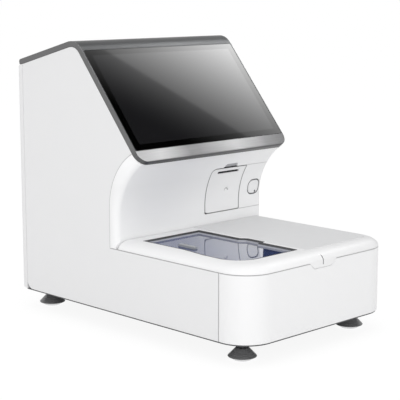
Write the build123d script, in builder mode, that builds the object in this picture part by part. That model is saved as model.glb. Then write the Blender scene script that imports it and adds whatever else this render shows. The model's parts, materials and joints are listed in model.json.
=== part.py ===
from build123d import *
import math
import os

# A bench-top immunoassay analyzer: a low front bay under a hinged lid, and a tall tower behind it
# with a sloped touch screen. X is across, the front faces -Y, Z is up and the feet stand on Z = 0.

# Overall sizes in millimetres
WIDTH = 400.0
DEPTH = 632.0
FOOT_HEIGHT = 39.0
WALL = 3.0
GAP = 0.6
EDGE = 1.0
HALF = WIDTH / 2


def back(distance):
    """The Y of a place this far behind the front face."""
    return distance - DEPTH / 2


def up(height):
    """The Z of a place this far above the underside of the covers."""
    return FOOT_HEIGHT + height


# Low front body and its lid
FRONT_CORNER = 60.0
SIDE_SEAM = 66.0
LID_SEAM = 123.2
LID_RISE = 15.1
LID_EDGE = 28.0
LID_REAR = 331.6
LID_REAR_ROUND = 5.5
HINGE_BACK = 329.0
HINGE_UP = 132.0
HINGE_PLACES = (-146.0, 146.0)
HINGE_WIDTH = 12.0
PIN_RADIUS = 1.5
DECK_UP = 122.2
TAB_TOP_HALF = 37.0
TAB_LOW_HALF = 23.5
TAB_DROP = 11.6
WINDOW_SEAT = LID_SEAM + 4.8
GLAZING = 3.0

# Recess wall between the bay and the screen: a vertical stretch that rolls forward into an arc
WALL_BACK = 334.2
WALL_ARC_BACK = 201.6
WALL_ARC_UP = 175.0
WALL_ARC_RADIUS = 132.6
END_ROUND = 13.7
END_STEPS = 10
CUT_BACK = 351.2
CUT_ARC_BACK = 231.5
CUT_ARC_UP = 200.0
CUT_ARC_RADIUS = 119.7
FASCIA_FOOT = 112.0

# Bent metal band that frames the screen and runs back over the top
SLOPE = math.radians(50.23)
FALL = math.radians(14.46)
BEND_BACK = 442.4
BEND_UP = 509.4
BEND_RADIUS = 40.0
SLOPE_LENGTH = 282.0
TOP_LENGTH = 186.0
BAND = 10.5
CHIN = 25.5
CHIN_CORNER = 24.0
GLASS_LENGTH = 228.9
GLASS_WIDTH = 395.0
GLASS = 3.0
REAR_SEAM = 611.4
REAR_CORNER = 13.0
BOTTOM_ROUND = 17.0

# Printer door and button on the recess wall
DOOR_LEFT = 34.0
DOOR_RIGHT = 129.0
DOOR_LOW = 158.8
DOOR_HIGH = 251.5
DOOR_BARREL = 2.0
DOOR_GAP = 1.3
DIMPLE_X = 91.0
DIMPLE_UP = 201.0
DIMPLE_RADIUS = 6.0
DIMPLE_DEPTH = 1.6
BUTTON_X = 171.0
BUTTON_UP = 200.0
BUTTON_WIDTH = 29.0
BUTTON_HEIGHT = 27.0
BUTTON_CORNER = 10.0
RING = 2.5
RING_SUNK = 1.2
LIGHT_X = BUTTON_X + 6.0
LIGHT_UP = BUTTON_UP - 10.4
LIGHT_RADIUS = 1.6

# Cartridge tray and its drive
TRAY_X = -90.0
TRAY_WIDTH = 134.0
TRAY_FRONT = 62.0
TRAY_LENGTH = 238.0
RAIL_SPREAD = 50.0
BED_TOP = 44.0
SCREW_UP = 50.0
SCREW_RADIUS = 4.0
STRIP_COUNT = 8

# Feet
FOOT_X = 149.0
FOOT_BACKS = {"front": 57.0, "rear": 596.0}
STUD_RADIUS = 4.0
RUNNING = 0.06

BUFFER_PLACES = [(-110, back(22)), (110, back(22)), (-110, back(316)), (110, back(316))]
SLOPE_ALONG = Vector(math.cos(SLOPE), math.sin(SLOPE))
SLOPE_IN = Vector(math.sin(SLOPE), -math.cos(SLOPE))
TOP_ALONG = Vector(math.cos(FALL), -math.sin(FALL))
TOP_IN = Vector(-math.sin(FALL), -math.cos(FALL))
BEND = Vector(back(BEND_BACK), up(BEND_UP))

os.makedirs("parts", exist_ok=True)


def chin_point(depth, along=0.0):
    """A point of the sloped stretch of the band, this deep below its outer face."""
    return BEND - SLOPE_ALONG * (SLOPE_LENGTH - along) + SLOPE_IN * depth


def bend_point(depth):
    """The corner that the two straight stretches of the band make at this depth."""
    return BEND + (SLOPE_IN + TOP_IN) * (depth / (1 + SLOPE_IN.dot(TOP_IN)))


def rear_point(depth, along=TOP_LENGTH):
    """A point of the band's top stretch, this far behind the bend and this deep."""
    return BEND + TOP_ALONG * along + TOP_IN * depth


def under_band(distance_back, depth):
    """The Z of the top stretch's face at this depth, above a place this far behind the front."""
    foot = bend_point(depth)
    return foot.Y - (back(distance_back) - foot.X) * math.tan(FALL)


def nearest(sketch, point):
    """The vertex of the sketch nearest to a point."""
    return sketch.vertices().sort_by_distance(point)[0]


def finish(piece, name):
    """Label a finished piece and write it as its own file."""
    piece.part.label = name
    export_step(piece.part, f"parts/{name}.step")


def front_body(height, inset, rear):
    """Plan outline of the low front body at a height, rounded at its two front corners."""
    with BuildSketch(Plane.XY.offset(up(height))) as outline:
        with Locations((0, back((inset + rear) / 2))):
            Rectangle(2 * (HALF - inset), rear - inset)
        fillet(outline.vertices().group_by(Axis.Y)[0], FRONT_CORNER - inset)
    return outline.sketch


def waterfall(distance_back, inset=0.0):
    """Quarter ellipse section of the lid's edge, on the plane this far behind the front."""
    core = HALF - LID_EDGE
    edge = LID_EDGE - inset
    with BuildSketch(Plane.XZ.offset(-back(distance_back))) as profile:
        with BuildLine():
            base = Line((core, up(LID_SEAM)), (core + edge, up(LID_SEAM)))
            arc = EllipticalCenterArc(
                (core, up(LID_SEAM)), edge, LID_RISE - inset, start_angle=0, arc_size=90
            )
            Line(arc @ 1, base @ 0)
        make_face()
    return profile.sketch


def sweep_lid(inset):
    """Add the lid's outer form, or its hollow when inset: a flat top with a soft edge."""
    core = HALF - LID_EDGE
    with BuildLine(Plane.XY.offset(up(LID_SEAM))) as path:
        FilletPolyline(
            (core, back(LID_REAR)),
            (core, back(LID_EDGE)),
            (-core, back(LID_EDGE)),
            (-core, back(LID_REAR)),
            radius=FRONT_CORNER - LID_EDGE,
        )
    sweep(waterfall(LID_REAR, inset), path=path.line)
    extrude(front_body(LID_SEAM, LID_EDGE, LID_REAR), amount=LID_RISE - inset)


def window_outline(height, inset):
    """Plan outline of the lid's window, which steps out on the left and round a finger notch."""
    with BuildSketch(Plane.XY.offset(up(height))) as outline:
        with BuildLine():
            Polyline(
                (-163.0, back(302)),
                (-163.0, back(190)),
                (-170.5, back(133)),
                (-170.5, back(46)),
                (-14.5, back(46)),
                (-14.5, back(133)),
                (-5.0, back(137)),
                (-5.0, back(180)),
                (-14.5, back(192)),
                (-14.5, back(302)),
                close=True,
            )
        make_face()
        fillet(nearest(outline, (-170.5, back(46))), 48)
        fillet(nearest(outline, (-14.5, back(46))), 5)
        if inset:
            offset(amount=-inset, mode=Mode.REPLACE)
    return outline.sketch


def grey_panel_outline(height, inset):
    """Plan outline of the grey panel on the lid's right half."""
    left = -6.0 + inset
    right = 176.0 - inset
    front = 32.0 + inset
    rear = 326.0 - inset
    with BuildSketch(Plane.XY.offset(up(height))) as outline:
        with Locations(((left + right) / 2, back((front + rear) / 2))):
            Rectangle(right - left, rear - front)
        fillet(nearest(outline, (right, back(front))), 32)
        fillet(nearest(outline, (left, back(front))), 6)
    return outline.sketch


def wall_section(x, blend):
    """Section of the recess wall on the plane at x: 0 is its main stretch, 1 its rounded end."""
    arc_back = WALL_ARC_BACK + blend * (CUT_ARC_BACK - WALL_ARC_BACK)
    arc_up = WALL_ARC_UP + blend * (CUT_ARC_UP - WALL_ARC_UP)
    end_radius = CUT_ARC_RADIUS - WALL - 0.3
    radius = WALL_ARC_RADIUS + blend * (end_radius - WALL_ARC_RADIUS)
    reach = 68.0
    centre = (back(arc_back), up(arc_up))
    with BuildSketch(Plane.YZ.offset(x)) as section:
        with BuildLine():
            face = CenterArc(centre, radius, 0, reach)
            rear = CenterArc(centre, radius + WALL, 0, reach)
            Line(face @ 1, rear @ 1)
            rise = Line(face @ 0, (back(arc_back + radius), up(FASCIA_FOOT)))
            foot = Line(rise @ 1, (back(arc_back + radius + WALL), up(FASCIA_FOOT)))
            Line(foot @ 1, rear @ 0)
        make_face()
    return section.sketch


def block_on_wall(x, height, width, tall, corner, mode):
    """Cut or keep a rounded block of the recess wall, seen from the front."""
    with BuildSketch(Plane.XZ.offset(-back(370))) as face:
        with Locations((x, up(height))):
            RectangleRounded(width, tall, corner)
    extrude(face.sketch, amount=160, mode=mode)


def side_outline(plane, inset):
    """Side view outline of a side cover, with the cut-out for the recess wall at its front."""
    depth = BAND + 0.3 + inset
    front = back(SIDE_SEAM + inset)
    rear = back(REAR_SEAM - inset)
    step = up(LID_SEAM - GAP - inset)
    cut = CUT_ARC_RADIUS + inset
    centre = Vector(back(CUT_ARC_BACK), up(CUT_ARC_UP))
    start = chin_point(depth)
    # The arc ends where it meets the underside of the band
    along = SLOPE_ALONG.dot(start - centre)
    away = (start - centre).dot(start - centre) - cut**2
    meet = start + SLOPE_ALONG * (-along + math.sqrt(along**2 - away))
    turn = math.degrees(math.atan2(meet.Y - centre.Y, meet.X - centre.X))
    with BuildSketch(plane) as outline:
        with BuildLine():
            arc = CenterArc(centre, cut, 0, turn)
            Polyline(
                arc @ 1,
                bend_point(depth),
                (rear, under_band(REAR_SEAM - inset, depth)),
                (rear, up(inset)),
                (front, up(inset)),
                (front, step),
                (back(CUT_ARC_BACK) + cut, step),
                arc @ 0,
            )
        make_face()
        fillet(nearest(outline, bend_point(BAND)), BEND_RADIUS - BAND - inset)
        fillet(nearest(outline, (back(REAR_SEAM), up(0))), BOTTOM_ROUND - inset)
    return outline.sketch


def above_band(gap):
    """Side view of the space above a line this far under the band's top stretch, at the rear."""
    with BuildSketch(Plane.YZ.offset(-HALF - 1)) as space:
        Polygon(
            (back(600), under_band(600, BAND + gap)),
            (back(650), under_band(650, BAND + gap)),
            (back(650), up(600)),
            (back(600), up(600)),
            align=None,
        )
    return space.sketch


def light_slit(half_width):
    """Side view of the slit down the lid's front edge and tab, on the plane at its left face."""
    with BuildSketch(Plane.YZ.offset(-half_width)) as slit:
        Polygon(
            (back(-1), up(LID_SEAM - 6.7)),
            (back(1.2), up(LID_SEAM - 6.7)),
            (back(1.2), up(LID_SEAM)),
            (back(3.4), up(LID_SEAM + 5.8)),
            (back(9.6), up(LID_SEAM + 10.8)),
            (back(-1), up(LID_SEAM + 10.8)),
            align=None,
        )
    return slit.sketch


def side_cover(piece, side):
    """A side cover: an outer skin with a rim that turns in all round, and bosses for its screws."""
    rim = 14.0
    extrude(side_outline(Plane.YZ.offset(side * HALF), 0), amount=-side * rim)
    fillet(piece.faces().sort_by(Axis((0, 0, 0), (side, 0, 0)))[-1].edges(), EDGE)
    extrude(side_outline(Plane.YZ.offset(side * (HALF - WALL)), WALL), amount=-side * rim,
            mode=Mode.SUBTRACT)
    for place in ((120.0, 30.0), (400.0, 30.0), (570.0, 30.0), (570.0, 400.0), (400.0, 250.0)):
        with BuildSketch(Plane.YZ.offset(side * (HALF - WALL))) as boss:
            with Locations((back(place[0]), up(place[1]))):
                Circle(5)
                Circle(1.7, mode=Mode.SUBTRACT)
        extrude(boss.sketch, amount=-side * (rim - WALL))


# Side covers
with BuildPart() as left_side_cover:
    side_cover(left_side_cover, -1)
finish(left_side_cover, "left_side_cover")

with BuildPart() as right_side_cover:
    side_cover(right_side_cover, 1)
finish(right_side_cover, "right_side_cover")

# Front cover: a skin round the front and its two corners, with a notch for the lid's tab
with BuildPart() as front_cover:
    seam = SIDE_SEAM - GAP
    extrude(front_body(0, 0, seam), amount=LID_SEAM - GAP)
    fillet(front_cover.edges(), EDGE)
    with BuildSketch(Plane.XY.offset(up(2))) as hollow:
        with Locations((0, back((WALL + seam + 1) / 2))):
            Rectangle(2 * (HALF - WALL), seam + 1 - WALL)
        fillet(hollow.vertices().group_by(Axis.Y)[0], FRONT_CORNER - WALL)
    extrude(amount=LID_SEAM, mode=Mode.SUBTRACT)
    with BuildSketch(Plane.XY.offset(up(0))) as under:
        with Locations((0, back((11 + seam + 1) / 2))):
            Rectangle(2 * (HALF - 11), seam + 1 - 11)
        fillet(under.vertices().group_by(Axis.Y)[0], FRONT_CORNER - 11)
    extrude(amount=2, mode=Mode.SUBTRACT)
    with BuildSketch(Plane.XZ.offset(-back(WALL + 1))):
        Polygon(
            (-TAB_TOP_HALF - GAP, up(LID_SEAM)),
            (-TAB_LOW_HALF - GAP, up(LID_SEAM - TAB_DROP - GAP)),
            (TAB_LOW_HALF + GAP, up(LID_SEAM - TAB_DROP - GAP)),
            (TAB_TOP_HALF + GAP, up(LID_SEAM)),
            align=None,
        )
    extrude(amount=WALL + 2, mode=Mode.SUBTRACT)
finish(front_cover, "front_cover")

# Rear cover: a tray-shaped cover with a fan grille, vents and cut-outs for the connectors
GRILLE_RINGS = (37.0, 30.5, 24.0, 17.5)
GRILLE_SLOT = 4.2
FAN_X = 95.0
FAN_UP = 330.0
INLET_X = -130.0
INLET_UP = 70.0
SWITCH_X = -92.0
USB_PLACES = ((-30.0, up(INLET_UP)), (-12.0, up(INLET_UP)))
NETWORK_PLACE = (12.0, up(INLET_UP))
with BuildPart() as rear_hollow:
    with BuildSketch(Plane.XY.offset(up(WALL))) as plan_hollow:
        with Locations((0, back((REAR_SEAM - 1 + DEPTH - WALL) / 2))):
            Rectangle(WIDTH - 2 * WALL, DEPTH - REAR_SEAM + 1 - WALL)
        fillet(plan_hollow.vertices().group_by(Axis.Y)[-1], REAR_CORNER - WALL)
    extrude(amount=470)
    extrude(above_band(WALL + 0.3), amount=WIDTH + 2, mode=Mode.SUBTRACT)

with BuildPart() as rear_cover:
    with BuildSketch(Plane.XY.offset(up(0))) as plan:
        with Locations((0, back((REAR_SEAM + 0.4 + DEPTH) / 2))):
            Rectangle(WIDTH, DEPTH - REAR_SEAM - 0.4)
        fillet(plan.vertices().group_by(Axis.Y)[-1], REAR_CORNER)
    extrude(amount=470)
    add(rear_hollow.part, mode=Mode.SUBTRACT)
    extrude(above_band(0.3), amount=WIDTH + 2, mode=Mode.SUBTRACT)
    # The bottom edge at the back is rounded like the side covers
    with BuildSketch(Plane.YZ.offset(-HALF - 1)):
        with Locations((back(DEPTH - BOTTOM_ROUND / 2), up(BOTTOM_ROUND / 2))):
            Rectangle(BOTTOM_ROUND, BOTTOM_ROUND)
        with Locations((back(DEPTH - BOTTOM_ROUND), up(BOTTOM_ROUND))):
            Circle(BOTTOM_ROUND, mode=Mode.SUBTRACT)
    extrude(amount=WIDTH + 2, mode=Mode.SUBTRACT)
    with BuildSketch(Plane.XZ.offset(-back(DEPTH + 1))):
        # Fan grille: rings of arched slots round a solid hub, parted by six spokes
        with Locations((FAN_X, up(FAN_UP))):
            for ring in GRILLE_RINGS:
                Circle(ring + GRILLE_SLOT / 2)
                Circle(ring - GRILLE_SLOT / 2, mode=Mode.SUBTRACT)
            for spoke in range(3):
                Rectangle(90, 3, rotation=60 * spoke, mode=Mode.SUBTRACT)
        # Vent louvres beside the fan and low down
        with Locations((-80, up(FAN_UP))):
            with GridLocations(66, 9, 2, 9):
                SlotOverall(56, 4)
        with Locations((105, up(90))):
            with GridLocations(0, 9, 1, 7):
                SlotOverall(90, 4)
        # Openings for the inlet, the switch and the data ports
        with Locations((INLET_X, up(INLET_UP))):
            Rectangle(28.4, 20.4)
        with Locations((SWITCH_X, up(INLET_UP))):
            Rectangle(13.4, 19.4)
        with Locations(*USB_PLACES):
            Rectangle(13.6, 6.2)
        with Locations(NETWORK_PLACE):
            Rectangle(16.4, 14.0)
    extrude(amount=WALL + 2, mode=Mode.SUBTRACT)
    # Rebates that take the flanges of the inlet and the switch
    with BuildSketch(Plane.XZ.offset(-back(DEPTH))):
        with Locations((INLET_X, up(INLET_UP))):
            RectangleRounded(34.4, 26.4, 3.2)
    extrude(amount=1.6, mode=Mode.SUBTRACT)
    with BuildSketch(Plane.XZ.offset(-back(DEPTH))):
        with Locations((SWITCH_X, up(INLET_UP))):
            RectangleRounded(18.4, 24.4, 2.2)
    extrude(amount=1.4, mode=Mode.SUBTRACT)
finish(rear_cover, "rear_cover")

# Recess wall with its openings for the printer door, the finger scoop and the control panel
strip_height = DOOR_HIGH - DOOR_LOW
strip_up = (DOOR_HIGH + DOOR_LOW) / 2
with BuildPart() as wall_form:
    # An even stretch with ends that roll back to meet the side covers
    straight = HALF - END_ROUND
    extrude(wall_section(-straight, 0), amount=2 * straight)
    for side in (1, -1):
        sections = []
        for step in range(END_STEPS + 1):
            turn = math.radians(90 / END_STEPS * step)
            place = side * (straight + END_ROUND * math.sin(turn))
            sections.append(wall_section(place, 1 - math.cos(turn)))
        loft(sections, ruled=True)
    # The top stops just under the band
    with BuildSketch(Plane.YZ.offset(-HALF - 1)):
        with BuildLine():
            low = chin_point(BAND + 0.3, -60)
            high = chin_point(BAND + 0.3, 90)
            Polyline(low, high, high - SLOPE_IN * 60, low - SLOPE_IN * 60, close=True)
        make_face()
    extrude(amount=WIDTH + 2, mode=Mode.SUBTRACT)
    # The ends stop above the rim of the side covers
    with BuildSketch(Plane.XY.offset(up(LID_SEAM - 0.2))):
        with Locations((HALF, back(WALL_BACK)), (-HALF, back(WALL_BACK))):
            Rectangle(30, 60)
    extrude(amount=-20, mode=Mode.SUBTRACT)

with BuildPart() as recess_fascia:
    add(wall_form.part)
    # The lid's edge carries on for a short way on both sides of the wall
    extrude(waterfall(WALL_BACK), amount=-(CUT_BACK - WALL_BACK - 0.3))
    extrude(mirror(waterfall(WALL_BACK), about=Plane.YZ, mode=Mode.PRIVATE),
            amount=-(CUT_BACK - WALL_BACK - 0.3))
    # One opening for the door and the panel, rounded at the door's lower left corner
    with BuildSketch(Plane.XZ.offset(-back(370))) as strip:
        with Locations((DOOR_LEFT - DOOR_GAP, up(DOOR_LOW))):
            Rectangle(HALF - DOOR_LEFT + 10, strip_height, align=(Align.MIN, Align.MIN))
        fillet(nearest(strip, (DOOR_LEFT - DOOR_GAP, up(DOOR_LOW))), 2.5)
        fillet(nearest(strip, (DOOR_LEFT - DOOR_GAP, up(DOOR_HIGH))), 10)
        with BuildLine():
            Polyline(
                ((DOOR_LEFT + DOOR_RIGHT) / 2 - 21, up(DOOR_HIGH - 1)),
                ((DOOR_LEFT + DOOR_RIGHT) / 2 - 15, up(DOOR_HIGH + 8)),
                ((DOOR_LEFT + DOOR_RIGHT) / 2 + 15, up(DOOR_HIGH + 8)),
                ((DOOR_LEFT + DOOR_RIGHT) / 2 + 21, up(DOOR_HIGH - 1)),
                close=True,
            )
        make_face()
    extrude(amount=160, mode=Mode.SUBTRACT)
finish(recess_fascia, "recess_fascia")

# Control panel: the insert to the right of the printer door, with the hole for the power button
panel_left = DOOR_RIGHT + DOOR_GAP
with BuildPart() as control_panel:
    add(wall_form.part)
    block_on_wall((panel_left + HALF + 10) / 2, strip_up, HALF + 10 - panel_left,
                  strip_height - 2 * 0.4, 0.8, Mode.INTERSECT)
    block_on_wall(BUTTON_X, BUTTON_UP, BUTTON_WIDTH + 2 * RING, BUTTON_HEIGHT + 2 * RING,
                  BUTTON_CORNER + RING, Mode.SUBTRACT)
finish(control_panel, "control_panel")

# Dark ring sunk into the panel round the power button
with BuildPart() as power_button_ring:
    add(wall_form.part.moved(Location((0, RING_SUNK, 0))))
    block_on_wall(BUTTON_X, BUTTON_UP, BUTTON_WIDTH + 2 * RING, BUTTON_HEIGHT + 2 * RING,
                  BUTTON_CORNER + RING, Mode.INTERSECT)
    block_on_wall(BUTTON_X, BUTTON_UP, BUTTON_WIDTH + 0.8, BUTTON_HEIGHT + 0.8,
                  BUTTON_CORNER + 0.4, Mode.SUBTRACT)
finish(power_button_ring, "power_button_ring")

# Power button: its cap follows the wall's curve, and a stem behind it reaches the switch
with BuildPart() as power_button:
    add(wall_form.part)
    block_on_wall(BUTTON_X, BUTTON_UP, BUTTON_WIDTH, BUTTON_HEIGHT, BUTTON_CORNER, Mode.INTERSECT)
    with BuildSketch(Plane.XZ.offset(-back(WALL_BACK + 0.5))):
        with Locations((BUTTON_X, up(BUTTON_UP))):
            Circle(6)
    extrude(amount=-12)
    with BuildSketch(Plane.XZ.offset(-back(300))):
        with Locations((LIGHT_X, up(LIGHT_UP))):
            Circle(LIGHT_RADIUS)
    extrude(amount=-60, mode=Mode.SUBTRACT)
finish(power_button, "power_button")

with BuildPart() as button_light:
    add(wall_form.part)
    with BuildSketch(Plane.XZ.offset(-back(300))):
        with Locations((LIGHT_X, up(LIGHT_UP))):
            Circle(LIGHT_RADIUS)
    extrude(amount=-60, mode=Mode.INTERSECT)
finish(button_light, "button_light")

with BuildPart() as button_switch:
    with BuildSketch(Plane.XZ.offset(-back(WALL_BACK + 16))):
        with Locations((BUTTON_X, up(BUTTON_UP))):
            RectangleRounded(22, 22, 2)
    extrude(amount=-12)
    with BuildSketch(Plane.XZ.offset(-back(WALL_BACK + 28))):
        with Locations((BUTTON_X, up(BUTTON_UP))):
            Rectangle(22, 60)
    extrude(amount=-1.6)
finish(button_switch, "button_switch")

# Bent band round the screen, with a pocket for the glass and an opening for the display
glass_middle = CHIN + GLASS_LENGTH / 2
front_of_band = Plane(
    origin=(0, chin_point(0).X, chin_point(0).Y),
    x_dir=(1, 0, 0),
    z_dir=(0, -SLOPE_IN.X, -SLOPE_IN.Y),
)
with BuildPart() as display_frame:
    with BuildSketch(Plane.YZ.offset(-HALF)) as section:
        with BuildLine():
            Polyline(
                chin_point(0),
                bend_point(0),
                rear_point(0),
                rear_point(BAND),
                bend_point(BAND),
                chin_point(BAND),
                close=True,
            )
        make_face()
        fillet(nearest(section, bend_point(0)), BEND_RADIUS)
        fillet(nearest(section, bend_point(BAND)), BEND_RADIUS - BAND)
        fillet(nearest(section, rear_point(0)), 5)
        fillet(nearest(section, rear_point(BAND)), 3)
        fillet(nearest(section, chin_point(0)), 3)
    extrude(amount=WIDTH)
    with BuildSketch(front_of_band) as corners:
        for side in (1, -1):
            with Locations((side * (HALF - CHIN_CORNER / 2), CHIN_CORNER / 2)):
                Rectangle(CHIN_CORNER, CHIN_CORNER)
        with Locations((HALF - CHIN_CORNER, CHIN_CORNER), (CHIN_CORNER - HALF, CHIN_CORNER)):
            Circle(CHIN_CORNER, mode=Mode.SUBTRACT)
    extrude(amount=-BAND - 1, mode=Mode.SUBTRACT)
    extrude(corners.sketch, amount=1, mode=Mode.SUBTRACT)
    with BuildSketch(front_of_band):
        with Locations((0, glass_middle)):
            RectangleRounded(GLASS_WIDTH, GLASS_LENGTH, 4)
    extrude(amount=-GLASS, mode=Mode.SUBTRACT)
    with BuildSketch(front_of_band):
        with Locations((0, glass_middle)):
            RectangleRounded(370, 212, 3)
    extrude(amount=-BAND - 1, mode=Mode.SUBTRACT)
finish(display_frame, "display_frame")

with BuildPart() as screen_glass:
    with BuildSketch(front_of_band.offset(-GLASS)):
        with Locations((0, glass_middle)):
            RectangleRounded(GLASS_WIDTH - 0.8, GLASS_LENGTH - 0.8, 3.6)
    extrude(amount=GLASS)
    front_face = screen_glass.faces().sort_by(Axis(front_of_band.origin, front_of_band.z_dir))[-1]
    chamfer(front_face.edges(), 0.3)
finish(screen_glass, "screen_glass")

with BuildPart() as display_module:
    with BuildSketch(front_of_band.offset(-GLASS)):
        with Locations((0, glass_middle)):
            RectangleRounded(368, 210, 3)
    extrude(amount=-9)
    with BuildSketch(front_of_band.offset(-GLASS - 9)):
        with Locations((0, glass_middle)):
            RectangleRounded(180, 110, 3)
    extrude(amount=-12)
finish(display_module, "display_module")

# Chassis plate under the covers, with a threaded boss over each foot
with BuildPart() as base_plate:
    with BuildSketch(Plane.XY.offset(up(-2.5))) as floor:
        with Locations((0, back((2 + DEPTH - 10) / 2))):
            Rectangle(WIDTH - 4, DEPTH - 12)
        fillet(floor.vertices().group_by(Axis.Y)[0], FRONT_CORNER - 2)
        fillet(floor.vertices().group_by(Axis.Y)[-1], 10)
    extrude(amount=2.5)
    for foot_back in FOOT_BACKS.values():
        with BuildSketch(Plane.XY.offset(up(0))):
            with Locations((-FOOT_X, back(foot_back)), (FOOT_X, back(foot_back))):
                Circle(9)
        extrude(amount=12)
        with BuildSketch(Plane.XY.offset(up(-3))):
            with Locations((-FOOT_X, back(foot_back)), (FOOT_X, back(foot_back))):
                Circle(STUD_RADIUS + RUNNING)
        extrude(amount=16, mode=Mode.SUBTRACT)
finish(base_plate, "base_plate")

# Two side plates of the inner frame, following the tower's outline inside the covers
FRAME_X = 185.0
with BuildPart() as frame_plates:
    for side in (-1, 1):
        with BuildSketch(Plane.YZ.offset(side * FRAME_X)) as outline:
            with BuildLine():
                Polyline(
                    chin_point(BAND + 12.5, 40),
                    bend_point(BAND + 12.5),
                    (back(602), under_band(602, BAND + 12.5)),
                    (back(602), up(0)),
                    (back(356), up(0)),
                    (back(356), up(200)),
                    chin_point(BAND + 30, 44),
                    close=True,
                )
            make_face()
            fillet(nearest(outline, bend_point(BAND + 12.5)), 20)
            with Locations((back(480), up(110)), (back(480), up(190)), (back(480), up(270)),
                           (back(480), up(350))):
                SlotOverall(50, 30, mode=Mode.SUBTRACT)
        extrude(amount=-side * 2)
        with BuildSketch(Plane.XY.offset(up(0))):
            with Locations((side * (FRAME_X - 8), back(479))):
                Rectangle(16, 240)
        extrude(amount=2)
finish(frame_plates, "frame_plates")

# Cross bars that tie the two frame plates together and carry the display
with BuildPart() as frame_crossbars:
    for place in ((520.0, 440.0), (590.0, 130.0), (400.0, 270.0)):
        with BuildSketch(Plane.YZ.offset(-FRAME_X + 2)):
            with Locations((back(place[0]), up(place[1]))):
                RectangleRounded(16, 16, 2)
                RectangleRounded(12, 12, 1, mode=Mode.SUBTRACT)
        extrude(amount=2 * (FRAME_X - 2))
finish(frame_crossbars, "frame_crossbars")

# Lid frame: a thin shell with a waterfall edge, a window opening, a tab and hinge barrels
with BuildPart() as lid_hollow:
    sweep_lid(WALL)
    with BuildSketch(Plane.XY.offset(up(LID_SEAM))):
        with Locations((0, back(LID_REAR))):
            Rectangle(WIDTH, 2 * (LID_REAR_ROUND + 1))
    extrude(amount=LID_RISE, mode=Mode.SUBTRACT)

with BuildPart() as lid_form:
    sweep_lid(0)
    rear_edges = lid_form.edges().filter_by(Axis.X).group_by(Axis.Y)[-1]
    fillet(rear_edges.group_by(Axis.Z)[-1], LID_REAR_ROUND)

with BuildPart() as lid_frame:
    add(lid_form.part)
    add(lid_hollow.part, mode=Mode.SUBTRACT)
    # Collar that carries the sunk window and its gasket
    extrude(window_outline(WINDOW_SEAT - 2.5, -4), amount=10)
    extrude(window_outline(WINDOW_SEAT, 0), amount=20, mode=Mode.SUBTRACT)
    extrude(window_outline(LID_SEAM - 1, 4.5), amount=20, mode=Mode.SUBTRACT)
    # Shallow recess for the grey panel, kept off the window's notch
    panel_floor = LID_SEAM + LID_RISE - 2
    panel_bed = grey_panel_outline(panel_floor, -0.3) - window_outline(panel_floor, -3.9)
    extrude(panel_bed, amount=5, mode=Mode.SUBTRACT)
    # Tab that overlaps the front cover
    with BuildSketch(Plane.XZ.offset(-back(WALL))):
        Polygon(
            (-TAB_TOP_HALF, up(LID_SEAM)),
            (-TAB_LOW_HALF, up(LID_SEAM - TAB_DROP)),
            (TAB_LOW_HALF, up(LID_SEAM - TAB_DROP)),
            (TAB_TOP_HALF, up(LID_SEAM)),
            align=None,
        )
    extrude(amount=WALL)
    # Bosses that come down on the buffers, and a holder for the catch magnet
    with BuildSketch(Plane.XY.offset(up(LID_SEAM + 0.8))):
        with Locations(*BUFFER_PLACES):
            Circle(4.5)
        with Locations((0, back(19.5))):
            Rectangle(28, 11)
    extrude(amount=11.6)
    with BuildSketch(Plane.XY.offset(up(LID_SEAM + 0.8))):
        with Locations((0, back(19))):
            Rectangle(22, 8)
    extrude(amount=5, mode=Mode.SUBTRACT)
    # Slots in the rear wall for the hinge brackets, and bores for the two pins
    for x in HINGE_PLACES:
        with BuildSketch(Plane.XY.offset(up(LID_SEAM - 1))):
            with Locations((x, back(328))):
                Rectangle(HINGE_WIDTH + 1.2, 14)
        extrude(amount=13.2, mode=Mode.SUBTRACT)
        with BuildSketch(Plane.YZ.offset(x - HINGE_WIDTH)):
            with Locations((back(HINGE_BACK), up(HINGE_UP))):
                Circle(PIN_RADIUS)
        extrude(amount=2 * HINGE_WIDTH, mode=Mode.SUBTRACT)
    # Slit for the light bar, down the front edge and the tab
    extrude(light_slit(0.9), amount=1.8, mode=Mode.SUBTRACT)
finish(lid_frame, "lid_frame")

with BuildPart() as lid_light_bar:
    add(lid_form.part)
    with BuildSketch(Plane.XZ.offset(-back(WALL))):
        with Locations((0, up(LID_SEAM - 3.4))):
            Rectangle(10, 6.8)
    extrude(amount=WALL)
    extrude(light_slit(0.85), amount=1.7, mode=Mode.INTERSECT)
finish(lid_light_bar, "lid_light_bar")

with BuildPart() as lid_window:
    extrude(window_outline(WINDOW_SEAT, 2.4), amount=GLAZING)
    chamfer(lid_window.faces().sort_by(Axis.Z)[-1].edges(), 0.3)
finish(lid_window, "lid_window")

# Gasket: grips the edge of the window and lines the wall of the opening above it
with BuildPart() as lid_gasket:
    extrude(window_outline(WINDOW_SEAT, 0), amount=LID_SEAM + LID_RISE - 0.4 - WINDOW_SEAT)
    extrude(window_outline(WINDOW_SEAT, 2.4), amount=GLAZING + 0.3, mode=Mode.SUBTRACT)
    extrude(window_outline(WINDOW_SEAT, 1.3), amount=20, mode=Mode.SUBTRACT)
finish(lid_gasket, "lid_gasket")

with BuildPart() as lid_grey_panel:
    extrude(grey_panel_outline(LID_SEAM + LID_RISE - 2, 0), amount=2.8)
    extrude(window_outline(LID_SEAM, -4.2), amount=20, mode=Mode.SUBTRACT)
    chamfer(lid_grey_panel.faces().sort_by(Axis.Z)[-1].edges(), 0.7)
finish(lid_grey_panel, "lid_grey_panel")

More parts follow.
